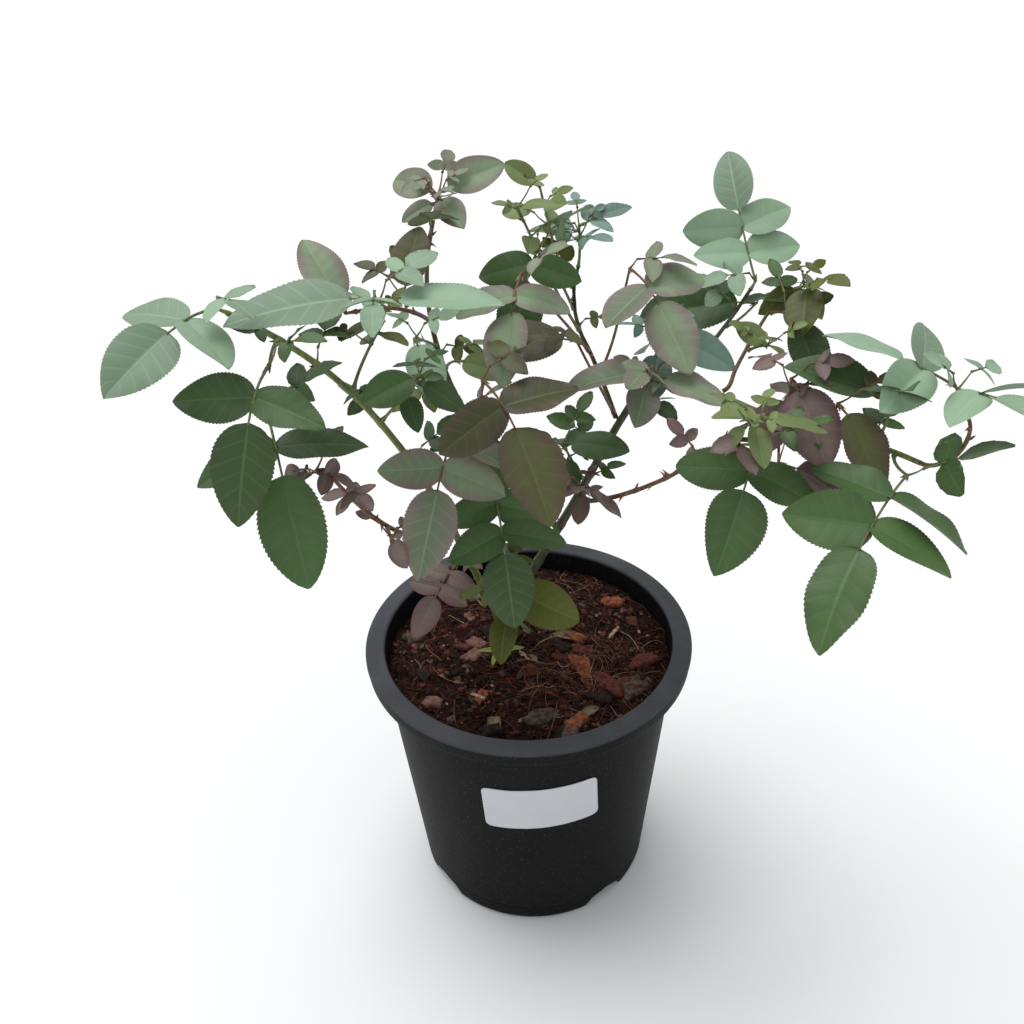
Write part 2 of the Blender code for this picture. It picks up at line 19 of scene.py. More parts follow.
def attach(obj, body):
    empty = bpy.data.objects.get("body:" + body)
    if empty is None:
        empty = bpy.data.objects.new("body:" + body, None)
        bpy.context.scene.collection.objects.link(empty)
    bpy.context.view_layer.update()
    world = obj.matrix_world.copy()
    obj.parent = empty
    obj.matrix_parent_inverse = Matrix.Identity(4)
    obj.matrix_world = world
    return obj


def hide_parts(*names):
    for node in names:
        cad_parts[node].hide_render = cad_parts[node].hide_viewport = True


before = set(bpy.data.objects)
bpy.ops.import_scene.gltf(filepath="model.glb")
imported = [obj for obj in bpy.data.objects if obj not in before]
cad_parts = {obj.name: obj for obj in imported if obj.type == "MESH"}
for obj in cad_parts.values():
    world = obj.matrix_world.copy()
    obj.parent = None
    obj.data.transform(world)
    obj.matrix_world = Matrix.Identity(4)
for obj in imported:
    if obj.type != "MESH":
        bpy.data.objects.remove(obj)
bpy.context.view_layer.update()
MM = 0.001

# %% [markdown]
# ## Camera
#
# A person looks down on the plant from half a metre away, so the pot narrows towards its foot and
# the front leaves loom. A camera could be aimed at a target, but three turns say the same more
# plainly: down from the horizon, round the plant, and a small lean of the head. One angle sets the
# lens.

# %% Stand the camera
EYE = Vector((0, -0.489, 0.592))
LOOK_DOWN = math.radians(33.5)
LOOK_RIGHT = math.radians(-0.8)
LEAN = math.radians(-2.3)
LENS_ANGLE = math.radians(52.8)

camera = bpy.data.objects.new("camera", bpy.data.cameras.new("camera"))
bpy.context.scene.collection.objects.link(camera)
camera.data.angle = LENS_ANGLE
camera.matrix_world = (Matrix.Translation(EYE)
                       @ Matrix.Rotation(-LOOK_RIGHT, 4, "Z")
                       @ Matrix.Rotation(math.pi / 2 - LOOK_DOWN, 4, "X")
                       @ Matrix.Rotation(LEAN, 4, "Z"))
bpy.context.scene.camera = camera
print("camera height:", round(EYE.z, 3), "m, lens angle:", round(math.degrees(LENS_ANGLE), 1))

# %% [markdown]
# ## Light and floor
#
# Leaves look their own colour in open shade, where light comes softly from the whole sky and most
# of it from above. One small lamp would give hard shadows, so a pale world gives the sky, and a sun
# with a very wide disc gives its brighter part. It stands a little behind the plant, which keeps
# the front of the pot in its own soft shade. The floor is a plain pale plane, wide enough for every
# view.

# %% Light it softly
SKY_COLOUR = (0.96, 0.98, 1.0, 1)
SKY_STRENGTH = 0.60
SUN_STRENGTH = 1.85
SUN_DISC = math.radians(50)         # how wide it looks: the wider, the softer its shadows
SUN_LEAN = (math.radians(-16), math.radians(-14), 0)

world = bpy.data.worlds.new("sky")
bpy.context.scene.world = world
world.use_nodes = True
sky = world.node_tree.nodes["Background"]
sky.inputs["Color"].default_value = SKY_COLOUR
sky.inputs["Strength"].default_value = SKY_STRENGTH
bpy.context.scene.view_settings.view_transform = "Standard"

sun = bpy.data.objects.new("wide_sun", bpy.data.lights.new("wide_sun", "SUN"))
bpy.context.scene.collection.objects.link(sun)
sun.data.energy = SUN_STRENGTH
sun.data.angle = SUN_DISC
sun.location = (0, 0, 2)
sun.rotation_euler = SUN_LEAN
print("light on the floor, as a share of white:", round(SKY_STRENGTH + SUN_STRENGTH / math.pi, 2))

# %% Lay the floor
FLOOR_HALF = 20.0
floor_mesh = bpy.data.meshes.new("floor")
corners = [(x * FLOOR_HALF, y * FLOOR_HALF, 0) for x, y in ((-1, -1), (1, -1), (1, 1), (-1, 1))]
floor_mesh.from_pydata(corners, [], [(0, 1, 2, 3)])
floor = bpy.data.objects.new("floor", floor_mesh)
bpy.context.scene.collection.objects.link(floor)
print("floor:", 2 * FLOOR_HALF, "m wide")

# %% [markdown]
# ## Surfaces from rings
#
# A pot, a cane, a prickle and even a leaf are all skins over a stack of rings: the pot's rings are
# circles, a leaf's are thin slits that run over its top and back underneath. So one function closes
# any stack of rings into a surface, whole arrays at once, and each piece only has to say where its
# rings lie.

# %% Close a stack of rings


def skin(rings):
    """Surfaces over stacks of rings shaped (pieces, rings, points, 3), as points, quads and triangles.

    Each ring joins the next with four-sided faces, and the first and last ring close on their middles.
    Rings that turn anticlockwise about the way they advance give faces that look outwards.
    """
    pieces, count, around, _ = rings.shape
    middles = rings[:, [0, -1]].mean(axis=2)
    points = np.concatenate([rings.reshape(pieces, -1, 3), middles], axis=1)
    index = np.arange(count * around).reshape(count, around)
    ahead = np.roll(index, -1, axis=1)
    quads = np.stack([index[:-1], ahead[:-1], ahead[1:], index[1:]], axis=-1).reshape(-1, 4)
    foot = np.stack([ahead[0], index[0], np.full(around, count * around)], axis=-1)
    tip = np.stack([index[-1], ahead[-1], np.full(around, count * around + 1)], axis=-1)
    start = np.arange(pieces)[:, None, None] * points.shape[1]
    triangles = np.concatenate([foot, tip])
    return points.reshape(-1, 3), (quads + start).reshape(-1, 4), (triangles + start).reshape(-1, 3)


def joined(surfaces):
    """Several surfaces as one: points stacked, corner numbers moved on past the points before them."""
    starts = np.cumsum([0] + [len(points) for points, _, _ in surfaces[:-1]])
    return (np.concatenate([points for points, _, _ in surfaces]),
            np.concatenate([quads + start for (_, quads, _), start in zip(surfaces, starts)]),
            np.concatenate([triangles + start for (_, _, triangles), start in zip(surfaces, starts)]))


# %% Turn a surface into a piece that rides on the frame


def add_piece(name, surface, finishes, nodes=()):
    """A smooth-shaded object over a surface. It rides on the root body and may stand for CAD nodes."""
    points, quads, triangles = surface
    corners = np.concatenate([quads.ravel(), triangles.ravel()]).astype(np.int32)
    sizes = np.concatenate([np.full(len(quads), 4), np.full(len(triangles), 3)])
    mesh = bpy.data.meshes.new(name)
    mesh.vertices.add(len(points))
    mesh.vertices.foreach_set("co", points.astype(np.float32).ravel())
    mesh.loops.add(len(corners))
    mesh.loops.foreach_set("vertex_index", corners)
    mesh.polygons.add(len(sizes))
    mesh.polygons.foreach_set("loop_start", (np.cumsum(sizes) - sizes).astype(np.int32))
    mesh.update(calc_edges=True)
    mesh.shade_smooth()
    for finish in finishes:
        mesh.materials.append(finish)
    piece = bpy.data.objects.new(name, mesh)
    bpy.context.scene.collection.objects.link(piece)
    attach(piece, "root")
    if nodes:
        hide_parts(*nodes)
    print(f"{name}: {2 * len(quads) + len(triangles)} triangles")
    return piece


# %% [markdown]
# ## Relief
#
# Soil, bark and paper are never quite smooth. Their unevenness is made from value noise: random
# numbers sit on a cubic lattice, and between its corners they are eased into each other. Layers of
# it, each half the size and height of the last, look like crumbs on clods. A modifier could
# displace a mesh the same way, but an array function also tells a chip of bark how high the soil is
# where it lies.

# %% Value noise in layers


def hashed(cell, seed):
    """A fixed random number, 0 to 1, for each lattice cell: whole-number products, folded and cut."""
    folded = (cell * np.array([374761393, 668265263, 1440662683])).sum(axis=-1) + seed * 974634777
    folded = folded & 0xFFFFFFFF
    folded = ((folded ^ (folded >> 13)) * 1274126177) & 0xFFFFFFFF
    return ((folded ^ (folded >> 16)) & 0xFFFFFF) / 0xFFFFFF


def noise(points, size, seed, layers=1):
    """Smooth noise, about -1 to 1, with lumps of a given size: lattice values, blended smoothly."""
    total = 0
    for layer in range(layers):
        place = points / (size / 2**layer)
        low = np.floor(place).astype(np.int64)
        part = place - low
        ease = part * part * (3 - 2 * part)
        for corner in np.ndindex(2, 2, 2):
            share = np.where(np.array(corner) == 1, ease, 1 - ease).prod(axis=-1)
            total = total + share * (2 * hashed(low + np.array(corner), seed + layer) - 1) / 2**layer
    return total


three_places = np.array([[0.1, 0.2, 0.3], [1.4, 0, 0], [0, 2.7, 1]])
print("noise at three places:", noise(three_places, 1, 1).round(2))

# %% [markdown]
# ## Finishes
#
# Each finish is a Principled shader whose colour comes from noise or from the piece's own UV map.
# The same few nodes come back in every one, so short helpers add them: a sum, a smooth step, a
# noise, a mix of two colours and a bump. Patterns read Object coordinates, which here are simply
# places in metres.

# %% Helpers for shader nodes


def feed(tree, made, values):
    """Gives a node its inputs in order: a socket is linked, a number or colour is set, None is left."""
    for socket, value in zip(made.inputs, values):
        if isinstance(value, bpy.types.NodeSocket):
            tree.links.new(value, socket)
        elif value is not None:
            socket.default_value = value


def calc(tree, operation, *values):
    """One arithmetic step between sockets and numbers."""
    made = tree.nodes.new("ShaderNodeMath")
    made.operation = operation
    feed(tree, made, values)
    return made.outputs[0]


def eased(tree, value, low, high):
    """0 below low, 1 above high and a smooth rise between."""
    made = tree.nodes.new("ShaderNodeMapRange")
    made.interpolation_type = "SMOOTHSTEP"
    feed(tree, made, (value, low, high))
    return made.outputs[0]


def grain(tree, per_metre, detail=3.0, stretch=(1, 1, 1)):
    """Blender's noise on Object coordinates, with this many lumps to a metre."""
    place = tree.nodes.new("ShaderNodeTexCoord").outputs["Object"]
    mapping = tree.nodes.new("ShaderNodeMapping")
    mapping.inputs["Scale"].default_value = stretch
    tree.links.new(place, mapping.inputs["Vector"])
    made = tree.nodes.new("ShaderNodeTexNoise")
    made.inputs["Scale"].default_value = per_metre
    made.inputs["Detail"].default_value = detail
    tree.links.new(mapping.outputs[0], made.inputs["Vector"])
    return made.outputs[0]


BEFORE_COLOURS = [None] * 5         # a Mix node's sockets for other kinds of values


def mixed(tree, share, first, second):
    """The first colour where the share is 0 and the second where it is 1."""
    made = tree.nodes.new("ShaderNodeMix")
    made.data_type = "RGBA"
    colours = [colour if isinstance(colour, bpy.types.NodeSocket) else (*colour, 1)
               for colour in (first, second)]
    feed(tree, made, (share, *BEFORE_COLOURS, *colours))
    return made.outputs[2]


def bump(tree, height, depth):
    """Small relief in the shading: a height, at this depth in metres, tilts the shader's normal."""
    made = tree.nodes.new("ShaderNodeBump")
    made.inputs["Distance"].default_value = depth
    tree.links.new(height, made.inputs["Height"])
    tree.links.new(made.outputs[0], tree.nodes["Principled BSDF"].inputs["Normal"])


# %% Start a finish


def new_finish(name, roughness, colour=(0.5, 0.5, 0.5), specular=0.5):
    """A Principled material. Returns the material and its node tree."""
    made = bpy.data.materials.new(name)
    made.use_nodes = True
    shader = made.node_tree.nodes["Principled BSDF"]
    shader.inputs["Base Color"].default_value = (*colour, 1)
    shader.inputs["Roughness"].default_value = roughness
    shader.inputs["Specular IOR Level"].default_value = specular
    return made, made.node_tree


def paint(tree, colour):
    """Links a colour socket to the shader."""
    tree.links.new(colour, tree.nodes["Principled BSDF"].inputs["Base Color"])


floor_finish, _ = new_finish("floor white", 0.9, (0.93, 0.93, 0.93), 0.2)
floor_mesh.materials.append(floor_finish)
print("materials so far:", [finish.name for finish in bpy.data.materials])

# %% [markdown]
# ## The pot
#
# A nursery pot is one thin wall of black plastic, turned about its axis: a flat rolled rim, a small
# step under it, a tapering body and a rounded foot with four drainage notches. A Screw modifier
# could turn the profile, but the notches are then cut by Booleans, which leave ragged faces in a
# thin wall. Here the profile is carried round the axis as a stack of circles, and near the foot
# each circle is pressed in where a notch is, so the moulded scoop and the wall stay one clean
# surface.

# %% The pot's profile
RIM_RADIUS = 100 * MM
POT_HEIGHT = 178 * MM
RIM_DEPTH = 10 * MM
BODY_TOP_RADIUS = 90 * MM
FOOT_RADIUS = 75 * MM
WALL = 1.8 * MM
FLOOR = 12 * MM
RIM_ROUND = 3 * MM
FOOT_ROUND = 3 * MM
RIM_EDGE = 0.6 * RIM_ROUND          # radius of the rim's two upper edges
RIM_LIP = 0.8 * MM                  # radius of its lower edge
STEP_DROP = 4 * MM                  # depth of the small step under the rim
STEP_OUT = 0.9 * MM
LOW_WALL = 30 * MM                  # below this the profile is finer, for the notches and the line
MOULD_LINE = 13 * MM                # height of the faint line near the foot
LINE_DEPTH = 0.35 * MM
LINE_WIDTH = 0.6 * MM
HOLLOW = 1.5 * MM                   # how far the underside's middle stands off the ground
FOOT_RING = 14 * MM                 # width of the ring that it stands on


def wall_radius(height):
    """Outer radius of the tapering body: straight from the foot to the rim's lower edge."""
    return FOOT_RADIUS + (BODY_TOP_RADIUS - FOOT_RADIUS) * height / (POT_HEIGHT - RIM_DEPTH)


def straight(start, end, step):
    """Profile points from start towards end, about a step apart, without the end itself."""
    count = max(1, round(math.dist(start, end) / step))
    share = (np.arange(count) / count)[:, None]
    return np.array(start) * (1 - share) + np.array(end) * share


def arc(middle, radius, start, end, steps):
    """Profile points on an arc, from one angle to another in degrees."""
    angle = np.radians(np.linspace(start, end, steps + 1))
    return np.stack([middle[0] + radius * np.cos(angle), middle[1] + radius * np.sin(angle)], axis=-1)


# %% Walk the profile, from the inner floor over the rim and down to the underside
rim_foot = POT_HEIGHT - RIM_DEPTH
step_foot = rim_foot - STEP_DROP
inner_top = (BODY_TOP_RADIUS - WALL, POT_HEIGHT - RIM_ROUND)
pot_profile = np.concatenate([
    straight((wall_radius(FLOOR) - WALL - 8 * MM, FLOOR), (wall_radius(FLOOR) - WALL, FLOOR), 4 * MM),
    straight((wall_radius(FLOOR) - WALL, FLOOR), inner_top, 6 * MM),
    arc((inner_top[0] + RIM_EDGE, inner_top[1] + 0.4 * RIM_ROUND), RIM_EDGE, 180, 90, 5),
    straight((inner_top[0] + RIM_ROUND, POT_HEIGHT - 0.15 * MM), (RIM_RADIUS - RIM_ROUND, POT_HEIGHT),
             1.6 * MM),
    arc((RIM_RADIUS - RIM_EDGE, POT_HEIGHT - RIM_EDGE), RIM_EDGE, 80, 0, 5),
    straight((RIM_RADIUS, POT_HEIGHT - RIM_ROUND), (RIM_RADIUS - RIM_LIP, rim_foot + 1 * MM), 2 * MM),
    arc((RIM_RADIUS - 2 * RIM_LIP, rim_foot + RIM_LIP), RIM_LIP, 0, -90, 3),
    straight((RIM_RADIUS - 2.6 * MM, rim_foot), (BODY_TOP_RADIUS + STEP_OUT, rim_foot), 2 * MM),
    straight((BODY_TOP_RADIUS + STEP_OUT, rim_foot),
             (wall_radius(step_foot) + STEP_OUT, step_foot + 1 * MM), 1 * MM),
    arc((wall_radius(step_foot) + STEP_OUT / 2, step_foot + 1 * MM), STEP_OUT / 2, 0, -60, 3),
    straight((wall_radius(step_foot), step_foot), (wall_radius(LOW_WALL), LOW_WALL), 3 * MM),
    straight((wall_radius(LOW_WALL), LOW_WALL), (wall_radius(FOOT_ROUND), FOOT_ROUND), 0.8 * MM),
    arc((FOOT_RADIUS - FOOT_ROUND, FOOT_ROUND), FOOT_ROUND, 0, -90, 5),
    straight((FOOT_RADIUS - FOOT_ROUND - 1 * MM, 0), (FOOT_RADIUS - FOOT_RING, 0), 1.5 * MM),
    straight((FOOT_RADIUS - FOOT_RING, 0), (FOOT_RADIUS - FOOT_RING - 6 * MM, HOLLOW), 2 * MM),
    straight((FOOT_RADIUS - FOOT_RING - 6 * MM, HOLLOW), (10 * MM, HOLLOW), 8 * MM),
])
on_outside = pot_profile[:, 0] > wall_radius(MOULD_LINE) - 0.5 * WALL
near_line = np.exp(-((pot_profile[:, 1] - MOULD_LINE) / LINE_WIDTH)**2)
pot_profile[:, 0] -= LINE_DEPTH * on_outside * near_line
print("profile points:", len(pot_profile))

# %% Carry it round and press in the notches
TURN_STEPS = 360
NOTCHES = 4
NOTCH_HEADING = 37
NOTCH_HALF = 14.5 * MM
NOTCH_HEIGHT = 10.5 * MM
NOTCH_DEPTH = 8.5 * MM
NOTCH_EDGE = 1.6 * MM               # over this width the wall bends in
NOTCH_REACH = 22 * MM               # from the foot's edge inwards, the part that is pressed


def notch_share(turn, height):
    """How far a place is pressed in: full under an arch over each notch's middle, none outside it."""
    pitch = 2 * np.pi / NOTCHES
    off = (turn - math.radians(NOTCH_HEADING) + pitch / 2) % pitch - pitch / 2
    arch = NOTCH_HEIGHT * np.sqrt(np.clip(1 - (off * FOOT_RADIUS / NOTCH_HALF)**2, 0, 1))
    share = np.clip((arch - height) / NOTCH_EDGE, 0, 1)
    return share * share * (3 - 2 * share)


turn = np.linspace(0, 2 * np.pi, TURN_STEPS, endpoint=False)
radius, height = pot_profile[:, :1], pot_profile[:, 1:]
fade = np.clip((radius - FOOT_RADIUS + NOTCH_REACH + 3 * MM) / NOTCH_REACH, 0, 1)
fade = fade * (height < FLOOR - 1 * MM)
pressed = radius - NOTCH_DEPTH * notch_share(turn, height) * fade * (radius > FOOT_RADIUS - NOTCH_REACH)
pot_rings = np.stack([pressed * np.cos(turn), pressed * np.sin(turn), height + 0 * turn], axis=-1)
print("pot rings:", pot_rings.shape)

# %% Black plastic, dusty on top, with a painted sheen on the rim
WALL_BLACK = ((0.0050, 0.0050, 0.0054), (0.0095, 0.0095, 0.0103))       # darkest and lightest
# The rim's top, darkest and lightest: partly a film of dust, partly a painted sheen of reflected sky
RIM_SHEEN_AND_DUST = ((0.036, 0.039, 0.046), (0.105, 0.109, 0.118))
DUST, DUST_SHARE = (0.12, 0.12, 0.12), 0.35
pot_finish, tree = new_finish("black plastic", 0.52, specular=0.06)
specks = eased(tree, grain(tree, 900, 2), 0.62, 0.74)
cloud = grain(tree, 28, 5)
place = tree.nodes.new("ShaderNodeSeparateXYZ")
tree.links.new(tree.nodes.new("ShaderNodeTexCoord").outputs["Object"], place.inputs[0])
# The rim's top turns to the lighter grey, which is dust and a painted sheen together
rim_sheen_and_dust_mask = eased(tree, place.outputs["Z"], POT_HEIGHT - 3 * MM, POT_HEIGHT - 0.5 * MM)
plastic = mixed(tree, rim_sheen_and_dust_mask, mixed(tree, cloud, *WALL_BLACK), mixed(tree, cloud, *RIM_SHEEN_AND_DUST))
paint(tree, mixed(tree, calc(tree, "MULTIPLY", specks, DUST_SHARE), plastic, DUST))
bump(tree, grain(tree, 260, 4), 0.00012)
add_piece("pot_shell", skin(pot_rings[None, ::-1]), [pot_finish], ["pot"])

# %% [markdown]
# ## The label
#
# A paper sticker is bent round the wall, with rounded corners and its right end a little higher. It
# could be cut from a cylinder, but its outline is simpler as rings in the sticker's own plane: a
# rounded rectangle shrunk towards the middle, once for the back and once for the face, then wrapped
# on the wall. It stays blank.

# %% The label's outline
LABEL_WIDTH = 69 * MM
LABEL_HEIGHT = 36 * MM
LABEL_CORNER = 4 * MM
LABEL_MIDDLE_HEIGHT = 118 * MM
LABEL_HEADING = math.radians(273)
LABEL_TILT = math.radians(3)
LABEL_THICKNESS = 0.4 * MM
LABEL_LIFT = 0.25 * MM              # clear of the wall
LABEL_RINGS = 26                    # from its middle to its edge
WRINKLE = 0.05 * MM
PAPER = ((0.56, 0.56, 0.60), (0.64, 0.64, 0.68))


def label_outline(steps):
    """A rounded rectangle walked anticlockwise at even angles: a frame pulled in at its corners."""
    angle = np.linspace(0, 2 * np.pi, steps, endpoint=False)
    half = np.array([LABEL_WIDTH / 2, LABEL_HEIGHT / 2])
    way = np.stack([np.cos(angle), np.sin(angle)], axis=-1)
    frame_point = way / np.abs(way / half).max(axis=-1, keepdims=True)
    inner = np.clip(frame_point, LABEL_CORNER - half, half - LABEL_CORNER)
    past = frame_point - inner
    reach = np.maximum(np.linalg.norm(past, axis=-1, keepdims=True), 1e-9)
    return inner + past * np.minimum(1, LABEL_CORNER / reach)


# %% Wrap it on the wall
shares = np.linspace(0.03, 1, LABEL_RINGS)
shares = np.concatenate([shares, np.linspace(1, 0.03, LABEL_RINGS)])
proud = np.concatenate([np.zeros(LABEL_RINGS), [0.7], np.ones(LABEL_RINGS - 1)]) * LABEL_THICKNESS
flat = label_outline(160)[None] * shares[:, None, None]
across = flat[..., 0] * math.cos(LABEL_TILT) - flat[..., 1] * math.sin(LABEL_TILT)
height = LABEL_MIDDLE_HEIGHT + flat[..., 0] * math.sin(LABEL_TILT) + flat[..., 1] * math.cos(LABEL_TILT)
wrinkle = WRINKLE * noise(np.stack([across, height, 0 * across], axis=-1), 9 * MM, 5, 2)
radius = wall_radius(height) + LABEL_LIFT + proud[:, None] + wrinkle
turn = LABEL_HEADING + across / radius
label_rings = np.stack([radius * np.cos(turn), radius * np.sin(turn), height], axis=-1)
label_finish, tree = new_finish("label paper", 0.38)
paint(tree, mixed(tree, grain(tree, 40, 4), *PAPER))
bump(tree, grain(tree, 700, 2), 0.00002)
add_piece("label_paper_sheet", skin(label_rings[None]), [label_finish], ["label"])

# %% [markdown]
# ## The potting mix
#
# The mix is coarse: clods and crumbs of bark and coco fibre, with chips of red-brown bark, stiff
# pale fibres and a little grit lying on it. One displaced disc would look like mud, so the disc
# only gives the clods, and the rest lies on it as separate little bodies, joined by colour. A
# height function says how high the soil is anywhere, so every chip is bedded in it.

# %% The height of the soil
SOIL_LEVEL = POT_HEIGHT - 12 * MM
SOIL_DOME = 2 * MM
SOIL_RADIUS = wall_radius(SOIL_LEVEL) - WALL - 0.4 * MM     # it all but touches the wall
GAP = 0.3 * MM                      # clear distance between neighbouring solids
STEM_PLACE = Vector((-9 * MM, 12 * MM, SOIL_LEVEL + SOIL_DOME + GAP))
CLODS = ((1.9 * MM, 21 * MM, 1), (1.5 * MM, 7 * MM, 3))     # height, size and layers of their noise
STEM_RISE, STEM_REACH = 1.8 * MM, 9 * MM        # the mix is heaped up round the stem
WALL_FALL = 1.5 * MM                # and sinks at the wall


def soil_height(x, y):
    """Height of the soil: a low dome, clods and crumbs of noise, a rise at the stem, a fall at the edge."""
    place = np.stack([x, y, 0 * x], axis=-1)
    out = np.hypot(x, y) / SOIL_RADIUS
    dome = SOIL_DOME * (1 - 2 * out**2)
    clods = sum(height * noise(place, size, 11 + k, layers)
                for k, (height, size, layers) in enumerate(CLODS))
    stem = STEM_RISE * np.exp(-((x - STEM_PLACE.x)**2 + (y - STEM_PLACE.y)**2) / STEM_REACH**2)
    return SOIL_LEVEL + dome + clods * (1 - 0.5 * out**4) + stem - WALL_FALL * out**12


# %% Fill the pot
turn = np.linspace(0, 2 * np.pi, 300, endpoint=False)
radius = SOIL_RADIUS * np.linspace(0.008, 1, 100)[:, None]
x, y = radius * np.cos(turn), radius * np.sin(turn)
soil_top = np.stack([x, y, soil_height(x, y)], axis=-1)
foot_radius = wall_radius(FLOOR) - WALL - 0.5 * MM
soil_foot = np.stack([np.cos(turn), np.sin(turn)], axis=-1) * foot_radius
soil_foot = np.concatenate([soil_foot, np.full((len(turn), 1), FLOOR + GAP)], axis=-1)
soil_rings = np.concatenate([soil_foot[None], soil_top[::-1]])
EARTH = ((0.005, 0.0025, 0.0018), (0.042, 0.0150, 0.0095))
DAMP = (0.022, 0.009, 0.007)
soil_finish, tree = new_finish("coco mix", 0.95, specular=0.05)
earth = mixed(tree, eased(tree, grain(tree, 260, 5), 0.35, 0.68), *EARTH)
paint(tree, mixed(tree, eased(tree, grain(tree, 70, 3), 0.5, 0.7), earth, DAMP))
bump(tree, grain(tree, 900, 6), 0.0009)
add_piece("coco_mix", skin(soil_rings[None]), [soil_finish], ["potting_mix"])

# %% Chips and crumbs as rough little blocks
# Height and outline of a chip's levels, as shares of its thickness and size.
CHIP_LEVELS = np.array([(-0.5, 0.72), (-0.35, 1.0), (0.32, 1.0), (0.5, 0.8)])
RAGGED = 0.22                       # a corner of the outline stands in or out by up to this share
UNEVEN = 0.08                       # and differs by this from level to level
LUMPY = 0.12                        # a corner is raised or sunk by up to this share of the thickness


def rough_blocks(places, sizes, headings, seed, around=8, tilt=0.25):
    """Rings of many blocks at once: rounded rectangles with ragged outlines, turned, tilted and bedded.

    Outline at an angle a: (cos a, sin a) stretched to a rounded square, times 1 +- noise per corner.
    """
    chance = np.random.default_rng(seed)
    count = len(places)
    angle = np.linspace(0, 2 * np.pi, around, endpoint=False)
    square = np.stack([np.cos(angle), np.sin(angle)], axis=-1)
    square /= (np.abs(square)**4).sum(axis=-1, keepdims=True)**0.25
    ragged = 1 + chance.uniform(-RAGGED, RAGGED, (count, 1, around, 1))
    uneven = 1 + chance.uniform(-UNEVEN, UNEVEN, (count, len(CHIP_LEVELS), around, 1))
    flat = square * ragged * uneven * CHIP_LEVELS[None, :, None, 1:] / 2
    lift = np.broadcast_to(CHIP_LEVELS[None, :, None, :1], flat.shape[:-1] + (1,))
    lift = lift + chance.uniform(-LUMPY, LUMPY, (count, 1, around, 1))
    local = np.concatenate([flat, lift], axis=-1) * sizes[:, None, None]
    lean = chance.uniform(-tilt, tilt, (count, 2))
    local[..., 2] += local[..., 0] * lean[:, :1, None] + local[..., 1] * lean[:, 1:, None]
    cos, sin = np.cos(headings)[:, None, None], np.sin(headings)[:, None, None]
    turned = np.stack([local[..., 0] * cos - local[..., 1] * sin,
                       local[..., 0] * sin + local[..., 1] * cos, local[..., 2]], axis=-1)
    return turned + places[:, None, None]


# %% Places on the soil


def scattered(count, chance, margin=3 * MM):
    """Places spread evenly over the soil, a margin from its edge: the root spares the middle."""
    out = (SOIL_RADIUS - margin) * np.sqrt(chance.random(count))
    turn = chance.uniform(0, 2 * np.pi, count)
    return np.stack([out * np.cos(turn), out * np.sin(turn)], axis=-1)


def bedded(flat, sink):
    """Places on the soil, sunk by this much."""
    return np.concatenate([flat, (soil_height(flat[:, 0], flat[:, 1]) - sink)[:, None]], axis=-1)


# %% Finishes of the bark chips
CHIP_COLOURS = {                    # darker and lighter colour of each kind
    "dark": ((0.007, 0.004, 0.003), (0.030, 0.014, 0.010)),
    "red": ((0.050, 0.014, 0.010), (0.130, 0.040, 0.026)),
    "orange": ((0.120, 0.036, 0.016), (0.300, 0.095, 0.045)),
    "grey": ((0.045, 0.028, 0.022), (0.115, 0.080, 0.064)),
    "pink": ((0.110, 0.052, 0.044), (0.240, 0.120, 0.100)),
    "pale": ((0.260, 0.170, 0.110), (0.480, 0.340, 0.240)),
}
chip_finishes = {}
for kind, colours in CHIP_COLOURS.items():
    chip_finishes[kind], tree = new_finish(kind + " bark chip", 0.85, specular=0.2)
    paint(tree, mixed(tree, eased(tree, grain(tree, 380, 5), 0.35, 0.65), *colours))
    bump(tree, grain(tree, 800, 5), 0.0006)
print("chip finishes:", list(chip_finishes))

# %% Scatter crumbs and chips
SCATTER = (                         # kind, how many, smallest and largest size (mm), flatness
    ("dark", 1900, 1.0, 3.4, 0.7),
    ("red", 520, 1.0, 4.2, 0.5),
    ("orange", 60, 1.2, 4.0, 0.45),
    ("grey", 190, 1.2, 4.5, 0.45),
    ("pink", 90, 1.0, 3.2, 0.5),
    ("pale", 50, 0.8, 2.2, 0.6),
)
